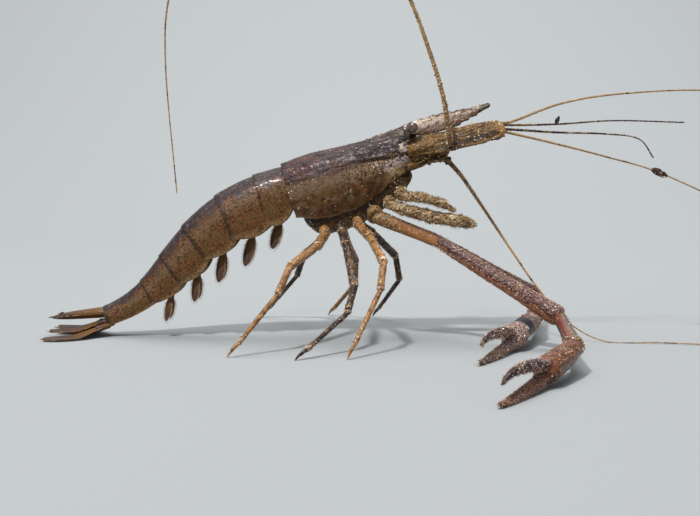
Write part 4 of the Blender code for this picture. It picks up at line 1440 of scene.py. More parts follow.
def make_antennules():
    c = settings("limbs")
    base_paint = mud_paint("antennule_base", c.tan, 0.5)
    clump_paint = hair_paint("mud_clump", settings("shell").silt, c.umber)
    paints = {
        ("right", "outer"): feeler_paint("upper_lash", c.horn, c.umber, 0.7, 0.3),
        ("right", "inner"): feeler_paint("lower_lash", c.horn, c.umber, 0.7, 0.4),
        ("left", "outer"): feeler_paint("dark_upper_lash", c.umber, c.night, 0.7, 0.7),
        ("left", "inner"): feeler_paint("dark_lower_lash", c.umber, c.night, 0.7, 0.6),
    }
    for name, hand in SIDES:
        joints = [head(along, up, hand * side) for along, up, side in ANTENNULE_STALK]
        parts = stalk_parts("stalk", joints, (1.3, 1.1, 0.98), 0.95)
        parts.append(spine("stalk_spine", head(0.2, -3.9, hand * 2.3),
                           head(3.6, -3.6, hand * 3.0), 0.45))
        body = join(f"antennule_stalk_{name}", parts)
        lumps(body, (0.3, 0.8))
        finished(body, base_paint, "horn_feeler", f"antennule_base_{name}")
        lashes = zip(("outer", "inner"), (0.42, -0.42), ANTENNULE_LASHES[name], LASH_SPREAD[name])
        for which, rise, route, spread in lashes:
            points = [head(12.7, -4.2 + rise, hand * 1.5),
                      Vector((17.5, hand * 1.75, EYE_HEIGHT + rise * 1.6 + 0.1))]
            for k, (x, z) in enumerate(route):
                out = 1.9 + spread * 1.4 * k + 1.1 * k
                points.append(Vector((x, hand * out, EYE_HEIGHT + z)))
            body = lash(f"antennule_lash_{which}_{name}", points, 0.32, 1.0, 0.7, 0.17)
            finished(body, paints[name, which], "horn_feeler",
                     f"antennule_{which}_lash_{name}")
            if CLUMPS[name][0] == which:
                mud_clump(name, clump_paint, points)


# the second feelers' stalks: (along, above the axis, sideways)
ANTENNA_STALKS = {
    "right": ((-1.7, -6.6, -2.8), (1.8, -8.1, -3.6), (4.4, -8.3, -4.5), (6.3, -6.4, -4.9)),
    "left": ((-1.7, -6.6, 2.8), (1.8, -7.6, 3.4), (4.6, -8.5, 4.2), (6.0, -10.0, 4.8)),
}
CHIN = ((0.0, 0.6), (0.1, 0.9), (0.4, 1.1), (0.7, 1.0), (0.88, 0.75), (0.97, 0.4), (1.0, 0.15))
# their lashes: (sideways, forward, above the eye)
LYING = 0.3 - EYE_HEIGHT  # on the floor
ARCHING_LASH = ((-6.6, 7.9, -3.5), (-8.3, 7.5, -1.4), (-9.2, 7.0, 1.6), (-9.6, 6.1, 6.5),
                (-10.0, 3.5, 15), (-10.3, -1.9, 29), (-10.0, -12, 47), (-9.6, -30, 56),
                (-9.3, -46.5, 47), (-9.2, -53, 29), (-9.4, -54, 13), (-9.6, -51.5, -15))
DROOPING_LASH = ((6.8, 11.6, -11.0), (7.6, 15.4, -16.4), (6.2, 19.4, -22.6),
                 (2.0, 23.4, -29.2), (-3.0, 28.0, -36.4), (-7.5, 33.6, -43.0),
                 (-11.0, 41.0, LYING), (-13.0, 52.0, LYING), (-17.0, 66.0, LYING),
                 (-23.0, 80.0, LYING))


def make_antennae():
    c = settings("limbs")
    base_paint = mud_paint("antenna_base", settings("shell").olive, 0.75)
    # (paint, points, thickness, power of its taper, nodes that it replaces)
    lashes = {
        "right": (feeler_paint("arching_lash", c.horn, c.umber, 0.9, 0.35), ARCHING_LASH,
                  0.6, 0.9, ("root", "middle", "tip")),
        "left": (feeler_paint("drooping_lash", c.horn, c.umber, 0.8, 0.4), DROOPING_LASH,
                 0.5, 2.2, ("root", "tip")),
    }
    for name, hand in SIDES:
        joints = [head(*joint) for joint in ANTENNA_STALKS[name]]
        parts = stalk_parts("peduncle", joints, (1.5, 1.25, 0.95))
        root = joints[0]
        parts.append(segment("foot", root - Vector((2.0, 0, 0.2)), root + Vector((1.2, 0, 0)), 1.8))
        parts.append(segment("chin", head(-5.0, -8.2, hand * 3.2), head(1.2, -8.0, hand * 3.3),
                             1.3, profile=CHIN))
        body = join(f"antenna_peduncle_{name}", parts)
        lumps(body, (0.35, 0.9))
        finished(body, base_paint, "horn_feeler", f"antenna_base_{name}")
        paint, route, thick, power, spans = lashes[name]
        start = joints[-1] - (joints[-1] - joints[-2]) * 0.15
        points = [start] + [Vector((x, y, EYE_HEIGHT + z)) for y, x, z in route]
        body = lash(f"antenna_lash_{name}", points, thick, power, 0.8, 0.14)
        finished(body, paint, "horn_feeler", *(f"antenna_lash_{name}_{s}" for s in spans))


# (share of the length, half width in shares of SCALE_WIDTH)
SCALE_OUTLINE = ((0.0, 0.24), (0.04, 0.32), (0.1, 0.38), (0.2, 0.41), (0.3, 0.43), (0.42, 0.45),
                 (0.55, 0.46), (0.68, 0.46), (0.8, 0.45), (0.88, 0.42), (0.94, 0.36),
                 (0.98, 0.26), (1.0, 0.1))
SCALE_LENGTH = 21.3
SCALE_WIDTH = 5.9


def scale_frame(hand):
    """(start, run, across) of a scale beside the feelers."""
    run = head(20.6, -5.5, hand * 4.0) - head(0.0, -4.6, hand * 4.2)
    across = (head(0, -7.6, hand * 6.2) - head(0, -2.9, hand * 2.9)).normalized()
    return head(CARAPACE_FRONT + 0.1, -4.7, hand * 4.2), run.normalized(), across


def make_scales():
    paint = scale_paint()
    for name, hand in SIDES:
        start, run, across = scale_frame(hand)
        out = run.cross(across) * -hand
        rings = []
        for share, half in SCALE_OUTLINE:
            here = start + run * (share * SCALE_LENGTH) + across * (0.9 * min(1.0, share * 4))
            swell = 0.55 + 0.35 * ease(0.8, 0.95, share) - 0.3 * ease(0.97, 1.0, share)
            ring = []
            for k in range(20):
                turn = tau * k / 20
                x, y = cos(turn), sin(turn)
                rib = 0.2 * cos(turn * 3) if y > 0 else 0.0
                bend = -0.35 * x * x * min(1.0, half * 3)
                lift = 1.0 + 0.32 * ease(0.5, 0.2, share) if x < 0 else 1.0
                ring.append(here + across * (half * SCALE_WIDTH * x * lift)
                            + out * (swell * (1 - 0.3 * x * x) * y + rib + bend))
            rings.append(ring)
        leaf = draw_out(f"scale_leaf_{name}", rings, 3)
        tooth = spine("scale_tooth", start + run * (SCALE_LENGTH * 0.86) + across * 3.1,
                      start + run * (SCALE_LENGTH * 0.965) + across * 3.0, 0.35)
        foot = segment("scale_foot", start - run * 1.0 + across * 0.4,
                       start + run * 5.0 + across * 0.8, 1.7)
        body = join(f"antennal_scale_leaf_{name}", [leaf, tooth, foot])
        lumps(body, (0.6, 1.7), (0.35, 0.5))
        finished(body, paint, "olive_shell", f"antennal_scale_{name}")


# ---- legs


def fuzz(name, body, paint, slot, count, seed, length, thick, forward, lie=0.9, weight=None):
    """Bristles all over a body, leaning the way `forward` points."""
    spots, normals, columns = scatter(body, count, seed, weight)
    rng = np.random.default_rng(seed + 1)
    lean = np.array(tuple(forward))[None, :] * lie
    run = normals + lean + rng.normal(size=normals.shape) * 0.45
    lengths = length * rng.uniform(0.5, 1.15, size=count)
    hair = bristles(name, spots - normals * 0.05, run, lengths, thick, roots_of(columns), seed,
                    droop=0.18)
    finished(hair, paint, slot, angle=180)


def limb_parts(joints, radii, tapers, profile=SEGMENT):
    """Segments along a chain of joints, each pushed a little way into the one before."""
    parts = []
    for k, (a, b, radius, taper) in enumerate(zip(joints, joints[1:], radii, tapers)):
        back = (b - a).normalized() * (radius * 0.35)
        parts.append(segment(f"joint{k}", a - back, b, radius, taper=taper, profile=profile))
    return parts


# (piece, node, place, hip, (length, heading, rise) of each step, radii, tapers, hair's seed
# and length)
MOUTH_LEGS = (
    ("mouth_leg", "maxilliped", MOUTH_LEG_AT, 2.0,
     ((5.4, 22, -5), (4.4, -10, -17), (2.9, -14, -32)),
     (1.25, 1.05, 1.0, 0.82), (1, 1, 0.95, 0.5), 11, 0.8),
    ("first_leg", "leg1", FIRST_LEG_AT, 1.5,
     ((4.0, 24, -21), (6.0, 6, -14), (5.4, -6, -9), (2.5, -8, -8), (2.3, -8, -12)),
     (1.35, 1.25, 1.35, 1.3, 1.35), (1, 1, 1, 1, 1), 17, 0.75),
)


def nippers(palm, tip):
    """The two small fingers at the end of a first leg."""
    return [spine("nipper", palm + UP * lift - (tip - palm) * 0.2, tip + UP * lift * 0.4, 0.75,
                  bend=UP * lift) for lift in (-0.34, 0.34)]


def make_mouth_legs():
    c = settings("limbs")
    paint = mud_paint("mouth_leg", c.tan, 0.45, 0.3)
    hair = hair_paint("mouth_leg_hair", settings("small").hair, c.tan)
    for name, hand in SIDES:
        for leg, node, place, hip, steps, radii, tapers, seed, length in MOUTH_LEGS:
            joints = limb_joints(place, hip, steps, hand)
            parts = limb_parts(joints, radii, tapers)
            if leg == "first_leg":
                parts += nippers(*joints[-2:])
            body = join(f"{leg}_{name}", parts)
            lumps(body, (0.4, 0.9))
            finished(body, paint, "amber_leg", f"{node}_{name}")
            forward = (joints[-1] - joints[1]).normalized()
            fuzz(f"{leg}_hair_{name}", body, hair, "amber_leg", 900, seed, length, 0.06, forward)


def arm_joints(name, hand):
    """Joints of a long arm from the breast to its finger tip, which reaches the floor."""
    steps = [(length, *pose) for length, pose in zip(ARM_LENGTHS, ARM_POSES[name])]
    joints = limb_joints(ARM_AT, 2.2, steps, hand)
    reach = PALM_LENGTH + FINGER_LENGTH
    return [*joints, grounded(joints[-1], reach, HAND_HEADING[name], FINGER_REST, hand)]


LEG_SEGMENT = ((0.0, 0.62), (0.03, 0.82), (0.1, 0.93), (0.3, 0.95), (0.6, 0.93), (0.85, 1.0),
               (0.95, 1.05), (0.985, 0.98), (1.0, 0.84), (1.004, 0.6))
ROOT_SEGMENT = ((0.0, 0.6), (0.03, 0.86), (0.1, 0.98), (0.25, 0.95), (0.45, 0.86), (0.7, 0.8),
                (0.9, 0.82), (0.97, 0.84), (0.995, 0.74), (1.002, 0.5))
UPPER_SEGMENT = ((0.0, 0.45), (0.012, 0.64), (0.05, 0.72), (0.14, 0.76), (0.3, 0.82), (0.5, 0.88),
                 (0.7, 0.95), (0.85, 1.03), (0.93, 1.13), (0.975, 1.15), (0.995, 1.02),
                 (1.002, 0.75))
LONG_SEGMENT = ((0.0, 0.5), (0.015, 0.72), (0.05, 0.86), (0.14, 0.9), (0.3, 0.86), (0.5, 0.86),
                (0.7, 0.93), (0.85, 1.02), (0.93, 1.13), (0.975, 1.15), (0.995, 1.02),
                (1.002, 0.75))
# the claw: (along, radius) of the palm, (share of the length, radius) of its two fingers
KNUCKLE = PALM_LENGTH - 1.0
PALM = ((-0.7, 0.9), (0.0, 1.35), (0.6, 1.6), (1.6, 1.78), (3.2, 1.95), (5.5, 2.1), (8.0, 2.25),
        (10.5, 2.35), (13.0, 2.4), (14.6, 2.42), (KNUCKLE, 2.3))
FIXED_FINGER = ((0.04, 1.3), (0.08, 1.12), (0.2, 1.06), (0.35, 1.0), (0.5, 0.92), (0.65, 0.8),
                (0.78, 0.68), (0.88, 0.56), (0.95, 0.42), (0.985, 0.28), (1.0, 0.12))
FREE_FINGER = ((-0.06, 0.7), (0.0, 0.98), (0.05, 1.15), (0.12, 1.12), (0.25, 1.02), (0.4, 0.95),
               (0.55, 0.85), (0.7, 0.74), (0.82, 0.6), (0.92, 0.44), (0.975, 0.27), (1.0, 0.1))


def claw(name, joints):
    """(palm with the fixed finger, movable finger) of a long arm."""
    start, tip = joints[-2:]
    run = (tip - start).normalized()
    open_way = (UP - run * UP.dot(run)).normalized()
    side = run.cross(open_way)
    fixed = (tip - start).length - KNUCKLE
    rings = [oval(start + run * along, run, side, radius * 1.04, radius * 0.97, 20)
             for along, radius in PALM]
    for share, radius in FIXED_FINGER:
        bow = -1.05 * sin(pi * (0.4 + 0.6 * share)) * (1 - 0.3 * share)
        bow += 0.5 * ease(0.86, 1.0, share)
        here = start + run * (KNUCKLE + fixed * share) + open_way * bow
        rings.append(oval(here, run, side, radius, radius * 1.05, 20))
    palm = draw_out(f"palm_{name}", rings, 2)
    root = start + run * (KNUCKLE + 0.3) + open_way * 1.25
    rings = []
    for share, radius in FREE_FINGER:
        lift = 2.6 * sin(pi * max(share, 0.0) * 0.62) - 0.45 * ease(0.88, 1.0, share)
        here = root + run * (share * (FINGER_LENGTH - 0.6)) + open_way * lift
        rings.append(oval(here, run, side, radius, radius, 16))
    finger = draw_out(f"finger_{name}", rings, 2)
    teeth = []
    for share, lift in ((0.16, 0.75), (0.24, 0.7)):
        foot = start + run * (KNUCKLE + fixed * share)
        teeth.append(spine("tooth", foot - open_way * 0.4, foot + open_way * lift, 0.5))
    return join(f"claw_palm_{name}", [palm, *teeth]), finger


def off_band(share):
    """Where the left claw isn't smooth and black."""
    return np.abs(share - BAND_AT) > BAND_REACH


def make_arms():
    c, small = settings("limbs"), settings("small")
    root_skin = root_paint()
    upper_skin = arm_paint("arm_upper", tone(152, 98, 70), c.maroon, 0.35, 0.52, 0.16, 0.65)
    fore_skin = forearm_paint()
    hand_skins = {
        "right": arm_paint("right_claw", tone(70, 46, 36), tone(114, 70, 48), 0.85, 0.66, 0.12),
        "left": grey_claw_paint(),
    }
    dark_finger = arm_paint("claw_finger", c.maroon, c.night, 0.6, 0.7, 0.12)
    hair = hair_paint("arm_hair", c.pink, tone(166, 134, 116))
    stubble = small.bristle / MM

    def upper_side(_, normals, columns):
        slope = np.clip(normals[:, 2] + 0.3, 0.0, 1.0) ** 0.6
        return slope * np.clip(columns["share"] * 4, 0.15, 1.0)

    for name, hand in SIDES:
        root, hip, knee, elbow, wrist, tip = joints = arm_joints(name, hand)
        parts = [segment("coxa", root - (hip - root) * 0.2, hip, 1.9),
                 segment("ischium", hip - (knee - hip) * 0.04, knee, 1.6, count=16,
                         profile=ROOT_SEGMENT)]
        body = join(f"arm_root_{name}", parts)
        lumps(body, (0.16, 1.1))
        finished(body, root_skin, "plum_shell")
        body = segment(f"arm_upper_{name}", knee - (elbow - knee) * 0.05, elbow, 1.78,
                       taper=1.08, levels=3, profile=UPPER_SEGMENT, count=16)
        lumps(body, (0.22, 0.9), (0.2, 0.4))
        finished(body, upper_skin, "plum_shell", f"arm_merus_{name}")
        fuzz(f"arm_upper_hair_{name}", body, hair, "plum_shell", 1600, 23, stubble, 0.085,
             (elbow - knee).normalized(), 0.5, upper_side)
        body = segment(f"arm_forearm_{name}", elbow - (wrist - elbow) * 0.03, wrist, 1.62,
                       taper=1.06, profile=LONG_SEGMENT, count=16)
        lumps(body, (0.18, 1.1))
        finished(body, fore_skin, "plum_shell", f"arm_carpus_{name}")
        palm, finger = claw(name, joints)
        lumps(palm, (0.25, 0.8))
        lumps(finger, (0.2, 0.6))
        finished(palm, hand_skins[name], "plum_shell", f"arm_palm_{name}")
        finished(finger, dark_finger, "plum_shell", f"arm_finger_{name}")

        def rough_half(points, normals, columns):
            share = columns["share"]
            return np.where(share > 0.5, 1.0, 0.7 if hand > 0 else 0.06) * off_band(share)

        run = (tip - wrist).normalized()
        fuzz(f"claw_hair_{name}", palm, hair, "plum_shell", 1700, 31, stubble, 0.08, run, 0.6,
             rough_half)
        fuzz(f"finger_hair_{name}", finger, hair, "plum_shell", 700, 37, stubble, 0.075, run, 0.6)


def walking_joints(along, poses, heading, hand):
    """Joints of a walking leg, whose last length turns to the heading and falls to the floor."""
    steps = [(length, *pose) for length, pose in zip(LEG_LENGTHS, poses)]
    joints = limb_joints(along, 1.8, steps, hand)
    return [*joints, grounded(joints[-1], LEG_LENGTHS[-1], heading, 0.0, hand)]


def make_walking_legs():
    c, small = settings("limbs"), settings("small")
    pale = leg_paint("pale_leg", tone(158, 112, 68), tone(96, 68, 44), 0.45)
    dark = leg_paint("dark_leg", c.umber, c.night, 0.6)
    paints = {"leg3_right": pale, "leg5_right": pale, "leg4_left": pale}
    hair = hair_paint("leg_hair", small.hair, c.umber)
    for leg, (place, *poses) in WALKING_LEGS.items():
        for (name, hand), turns, heading in zip(SIDES, poses[::2], poses[1::2]):
            *upper, wrist, foot = walking_joints(place, turns, heading, hand)
            ankle = wrist.lerp(foot, 0.78)
            parts = limb_parts([*upper, wrist, ankle], (1.3, 1.1, 0.98, 0.82, 0.62),
                               (0.9, 1, 1, 0.95, 0.8), LEG_SEGMENT)
            toe = foot - ankle
            bend = UP.cross(toe).cross(toe).normalized() * -0.25
            parts.append(segment("toe", ankle - toe * 0.06, foot, 0.5, count=8, profile=CLAW,
                                 bow=bend, levels=1))
            body = join(f"walking_{leg}_{name}", parts)
            lumps(body, (0.22, 0.7))
            finished(body, paints.get(f"{leg}_{name}", dark), "amber_leg", f"{leg}_{name}")
            fuzz(f"walking_hair_{leg}_{name}", body, hair, "amber_leg", 420, 41, 0.4, 0.05,
                 (foot - wrist).normalized())


# ---- tail


def tail_axis():
    """Samples (arc length, point, fall in radians) of the tail's middle line."""
    joints = [0.0]
    for length in SOMITES:
        joints.append(joints[-1] + length)
    back = table_at(CARAPACE, CARAPACE_BACK, 1), table_at(CARAPACE, CARAPACE_BACK, 2)
    here = head(CARAPACE_BACK - 0.3, sum(back) / 2 + 0.2)
    samples, step = [], 0.25
    for k in range(int(joints[-1] / step) + 1):
        fall = radians(smooth(joints, TAIL_FALL, k * step))
        samples.append((k * step, here.copy(), fall))
        here = here + Vector((-cos(fall), 0.0, -sin(fall))) * step
    return joints, samples


def tail_frame(samples, place):
    """(point, backward direction, upward direction) of the tail at an arc length."""
    k = min(range(len(samples)), key=lambda i: abs(samples[i][0] - place))
    at, point, fall = samples[k]
    back = Vector((-cos(fall), 0.0, -sin(fall)))
    return point + back * (place - at), back, Vector((-sin(fall), 0.0, cos(fall)))


PLATE_AT = 0.68  # share of the way from the back to the margin where the side plate begins
SADDLE, LAST_RING = 1, 5  # the second ring, whose plates lie over its neighbours', and the sixth
# (share of the length, scale) of a ring's sections, turned in at both ends
TAIL_SECTIONS = ((-0.30, 0.84), (-0.28, 0.91), (-0.12, 0.935), (0.0, 0.95), (0.1, 0.965),
                 (0.25, 0.975), (0.42, 0.98), (0.6, 0.985), (0.78, 0.995), (0.9, 1.008),
                 (1.0, 1.018), (1.055, 1.02), (1.06, 0.995), (0.99, 0.955), (0.88, 0.88))


def tergite_ring(point, back, up, half, above, below, flap, scale, plate, lean):
    """(ring, its hem values) of a tail shell: arched back, side plates, hollow belly.

    plate widens the side plates and lean carries them backwards.
    """
    ring, hem = [], []

    def add(side, height, share):
        grow = scale * (1 + (plate - 1) * ease(0.5, 0.85, share))
        ring.append(point + LEFT * (side * grow) + up * (height * scale)
                    + back * (lean * ease(0.45, 1.0, share)))
        hem.append(share)

    def outer(share):
        if share <= PLATE_AT:
            angle = radians(share / PLATE_AT * 92)
            return half * sin(angle), above * cos(angle)
        t = (share - PLATE_AT) / 0.32
        return half * (1.0 - 0.12 * t * t), -above * 0.035 - (below * flap - above * 0.035) * t

    for k in range(-14, 15):
        share = abs(k) / 14
        side, height = outer(share)
        add(copysign(side, k), height, share)
    turned_under(add, ((half * 0.80, -below * flap * 0.92), (half * 0.72, -below * 0.6),
                       (half * 0.4, -below * 0.47), (half * 0.15, -below * 0.45)))
    return ring, hem


def make_tail():
    joints, samples = tail_axis()
    paint = tail_paint()
    for n, (start, length) in enumerate(zip(joints, SOMITES)):
        rings, hems = [], []
        for share, scale in TAIL_SECTIONS:
            at = start + length * share
            place = min(max(at, 0.0), joints[-1])
            point, back, up = tail_frame(samples, place)
            half, above, below = (smooth(joints, row, place)
                                  for row in (TAIL_HALF_WIDTH, TAIL_ABOVE, TAIL_BELOW))
            flap, plate, lean = 0.9, 1.0, 0.0
            if n < LAST_RING:
                inside = min(max(share, 0.02), 0.98)
                flap = 0.72 + 0.34 * sin(pi * inside) ** 0.7
                lean = 0.9 * share
            if n == SADDLE:
                plate, lean = 1.055, (share - 0.45) * 2.6
            ring, hem = tergite_ring(point + back * (at - place), back, up, half, above, below,
                                     flap, scale, plate, lean)
            rings.append(ring)
            hems.append(hem)
        body = draw_out(f"tail_ring_{n + 1}", rings, 2, {"hem": hems})
        lumps(body, (0.12, 1.2))
        finished(body, paint, "olive_shell", f"abdomen_{n + 1}")


def fringe(name, roots, outward, length, seed, paint, thick=0.055):
    """A row of hairs round the rims of blades."""
    rng = np.random.default_rng(seed)
    n = len(roots)
    run = unit(outward) + rng.normal(size=(n, 3)) * 0.09
    uv = np.stack([np.full(n, 0.5), np.arange(n) / n * 0.99], axis=1)
    body = bristles(name, roots, run, length * rng.uniform(0.8, 1.1, size=n), thick, uv, seed)
    finished(body, paint, "fan_blade", angle=180)


# (share of the length, share of the half width) of a blade
LEAF = ((0.0, 0.3), (0.06, 0.4), (0.14, 0.52), (0.24, 0.68), (0.36, 0.85), (0.5, 0.97),
        (0.64, 1.0), (0.76, 0.93), (0.86, 0.77), (0.93, 0.56), (0.975, 0.32), (1.0, 0.1))
# (share of the length, half width, half thickness) of the telson
TELSON = ((-0.08, 1.9, 1.0), (0.0, 2.35, 1.25), (0.15, 2.3, 1.25), (0.3, 2.1, 1.15),
          (0.5, 1.8, 1.05), (0.7, 1.45, 0.9), (0.85, 1.15, 0.72), (0.94, 0.85, 0.5),
          (1.0, 0.25, 0.25))
# the fan's blades: (length, half width, degrees outwards, backwards, sideways and up to its root,
# height of the blade)
UROPODS = {
    "outer": (13.5, 2.9, 30.0, 0.8, 2.7, 2.3, 0.42),
    "inner": (12.0, 2.3, 12.0, 0.8, 1.3, 3.3, 1.45),
}


def leaf_ring(here, run, across, half, thick):
    """A blade's section, with a rib along the middle of its upper side."""
    across = (across - run * across.dot(run)).normalized()
    over = run.cross(across)
    over = over if over.z >= 0 else -over
    ring = []
    for k in range(16):
        turn = tau * k / 16
        x, y = cos(turn), sin(turn)
        rib = 0.22 * hump(x, 0.22) * min(half, 1.0) if y > 0 else 0.0
        ring.append(here + across * (half * x) + over * (thick * y * (1 - 0.55 * x * x) + rib))
    return ring


def rim_of(points_at, count):
    """Roots and outward directions of a fringe, from a function of a blade's rim."""
    found = [points_at(min(0.28 + 0.72 * k / (count - 1), 0.999), side)
             for side in (-1, 1) for k in range(count)]
    return [np.array([tuple(v) for v in column]) for column in zip(*found)]


def leaf(name, middle, run, across, half, least, thick, swing, levels, count):
    """(blade, roots of its fringe, their directions) round a middle line.

    swing holds how far the hairs point along the blade, and the share where they turn to its tip.
    """
    def rim(share, side):
        wide = half * table_at(LEAF, share, 1)
        out = (run * (swing[0] + 1.6 * ease(swing[1], 1.0, share)) + across * side).normalized()
        return middle(share) + across * (side * wide * 0.97), out

    rings = [leaf_ring(middle(share), run, across, max(half * wide, least), thick)
             for share, wide in LEAF]
    return draw_out(name, rings, levels), *rim_of(rim, count)


def make_telson(point, back, up, paint, hair, reach):
    """The pointed middle of the tail fan, with its small spines and its fringe."""
    run = Vector((-1, 0, -0.10)).normalized()
    start = point + up * 1.05 + back * 0.35
    over = LEFT.cross(run)
    rings = []
    for share, half, thick in TELSON:
        here = start + run * (TELSON_LENGTH * share)
        rings.append([p + over * (-0.35 * hump(p.y, 0.45)) if (p - here).dot(over) > 0 else p
                      for p in oval(here, run, LEFT, half, thick, 20)])
    parts = [draw_out("telson_blade", rings, 2)]
    for share in (0.5, 0.78):
        for hand in (-1, 1):
            foot = start + run * (TELSON_LENGTH * share) + LEFT * (hand * (1.35 - share * 0.6))
            foot = foot + over * 0.62
            parts.append(spine("telson_spine", foot, foot + run * 0.95 + over * 0.12, 0.2))
    for hand in (-1, 1):
        foot = start + run * (TELSON_LENGTH * 0.96) + LEFT * (hand * 0.55)
        parts.append(spine("end_spine", foot, foot + run * 1.1 + LEFT * (hand * 0.15), 0.16))
    finished(join("telson_shell", parts), paint, "fan_blade", "telson")

    def rim(share, side):
        half = table_at(TELSON, share, 1)
        here = start + run * (TELSON_LENGTH * share) + LEFT * (side * half * 0.97)
        return here, (run * (0.7 + share) + LEFT * side).normalized()

    fringe("telson_fringe", *rim_of(rim, 34), reach * 0.35, 51, hair)


def make_uropod(which, name, hand, point, back, paint, hair, reach):
    """A blade of the tail fan, which comes down to the floor in its first half."""
    length, half, turn, behind, sideways, height, lies = UROPODS[which]
    h = radians(turn)
    root = point + back * behind
    root = Vector((root.x, hand * sideways, height))
    run = Vector((-cos(h), hand * sin(h), 0.0))
    across = UP.cross(run)

    def middle(share):
        here = root + run * (length * share)
        here.z = height + (lies - height) * min(share / 0.5, 1.0)
        return here

    blade, *edge = leaf(f"uropod_leaf_{which}_{name}", middle, run, across, half, 0.25, 0.36,
                        (0.25, 0.6), 2, 46)
    stem = segment("uropod_stem", root - run * 1.6 + UP * 0.3, middle(0.14), 0.95, flatten=0.8,
                   levels=1)
    body = join(f"uropod_{which}_blade_{name}", [blade, stem])
    finished(body, paint, "fan_blade", f"uropod_{which}_{name}")
    fringe(f"uropod_{which}_fringe_{name}", *edge, reach * 0.55, 53, hair)


def make_tail_fan():
    joints, samples = tail_axis()
    point, back, up = tail_frame(samples, joints[-1])
    paint = blade_paint()
    hair = hair_paint("fringe_hair", settings("small").hair, settings("limbs").maroon)
    reach = settings("small").fringe / MM
    make_telson(point, back, up, paint, hair, reach)
    for name, hand in SIDES:
        for which in UROPODS:
            make_uropod(which, name, hand, point, back, paint, hair, reach)


# (degrees downwards, half width, length) of each pair of swimmerets
SWIMMERETS = ((58, 1.6, 9.5), (52, 1.6, 10.5), (45, 1.5, 10.0), (40, 1.35, 9.0), (36, 1.1, 8.0))


def swimmeret_leaf(which, shift, size, turn, root, run, wide, long, hand):
    """(leaf, roots of its fringe, their directions) of one swimmeret."""
    foot = root + run * (long * 0.28) + LEFT * (hand * shift)
    way = (run + LEFT * (hand * turn)).normalized()
    flat = LEFT * (0.64 * hand) + run.cross(LEFT) * 0.77
    return leaf(f"leaf_{which}", lambda share: foot + way * (long * 0.72 * size * share), way,
                flat, wide * size * 0.85, 0.14, 0.17, (0.5, 0.5), 1, 22)


def make_swimmerets():
    joints, samples = tail_axis()
    paint = blade_paint()
    hair = hair_paint("swimmeret_hair", settings("small").hair, settings("limbs").tan)
    reach = settings("small").fringe / MM
    for n, (rake, wide, long) in enumerate(SWIMMERETS):
        place = (joints[n] + joints[n + 1]) / 2 - 0.6
        point, back, up = tail_frame(samples, place)
        below, half = smooth(joints, TAIL_BELOW, place), smooth(joints, TAIL_HALF_WIDTH, place)
        r = radians(rake)
        run = back * cos(r) - up * sin(r)
        for name, hand in SIDES:
            root = point - up * (below * 0.5) + LEFT * (hand * (half * 0.12 + 1.35))
            stem = segment("stem", root, root + run * (long * 0.36), 0.72, flatten=0.7)
            leaves, roots, outward = zip(*(
                swimmeret_leaf(*shape, root, run, wide, long, hand)
                for shape in (("outer", 0.25, 1.0, 0.12), ("inner", -0.35, 0.82, -0.10))))
            body = join(f"swimmeret_{n + 1}_{name}_leaves", [stem, *leaves])
            finished(body, paint, "fan_blade", f"swimmeret{n + 1}_{name}")
            fringe(f"swimmeret_{n + 1}_{name}_fringe", np.concatenate(roots),
                   np.concatenate(outward), reach * 0.5, 61 + n, hair, thick=0.045)


# ---- sand, stage and the add-on


SANDED = {  # slot: (body, how many grains, largest over the usual)
    "olive_shell": (
        ("carapace_shell", 2600, 1.15), ("rostrum_blade", 200, 0.9),
        ("breast_and_mouth", 900, 1.2), ("antennal_scale_leaf_right", 700, 1.0),
        ("antennal_scale_leaf_left", 600, 1.1)),
    "horn_feeler": (
        ("antenna_peduncle_right", 260, 1.1), ("antennule_stalk_right", 220, 1.0),
        ("antenna_lash_right", 620, 1.25), ("antenna_lash_left", 260, 1.0),
        ("antennule_lash_outer_right", 60, 0.9), ("antennule_lash_inner_right", 60, 0.9),
        ("antennule_lash_outer_left", 90, 1.1), ("antennule_lash_inner_left", 60, 1.0),
        ("mud_clump_right", 90, 1.2), ("mud_clump_left", 30, 1.0)),
    "amber_leg": (
        ("mouth_leg_right", 800, 1.3), ("mouth_leg_left", 360, 1.2),
        ("first_leg_right", 1100, 1.3), ("first_leg_left", 420, 1.2),
        ("walking_leg3_right", 280, 1.15), ("walking_leg4_right", 300, 1.15),
        ("walking_leg5_right", 260, 1.15)),
    "plum_shell": (
        ("arm_root_right", 260, 1.1), ("arm_root_left", 200, 1.1),
        ("arm_upper_right", 900, 1.1), ("arm_upper_left", 700, 1.1),
        ("arm_forearm_right", 420, 1.1), ("arm_forearm_left", 300, 1.1),
        ("claw_palm_right", 420, 1.0), ("claw_palm_left", 800, 1.8), ("finger_left", 220, 1.6),
        ("finger_right", 120, 1.3)),
}


def clinging(name, points, columns):
    """How thickly sand lies on a piece: in clumps, and where the wet shell holds it."""
    patch = np.array([noise.noise(Vector(p) * 0.45) for p in points])
    thick = np.clip(patch + 0.28, 0.02, 1.0) ** 2
    share = columns["share"]
    if name == "claw_palm_left":
        thick *= off_band(share)
    if name.startswith("arm_forearm"):
        thick *= np.abs(share * 2 - 1) ** 5 + 0.02
    if "_lash_" in name:
        thick *= np.clip(1.1 - share * 4, 0.08, 1.0)
    if name.startswith("walking"):
        thick *= np.clip(share * 4 - 2.6, 0.15, 1.0)
    if name == "carapace_shell":
        along, up, _ = head_axes(points)
        band = np.exp(-(((up + 5.6) / 2.0) ** 2)) * np.clip((along + 16.0) / 7.0, 0.03, 1.0)
        thick = thick * (band + 0.03) * (columns["hem"] < 0.97)
    return thick


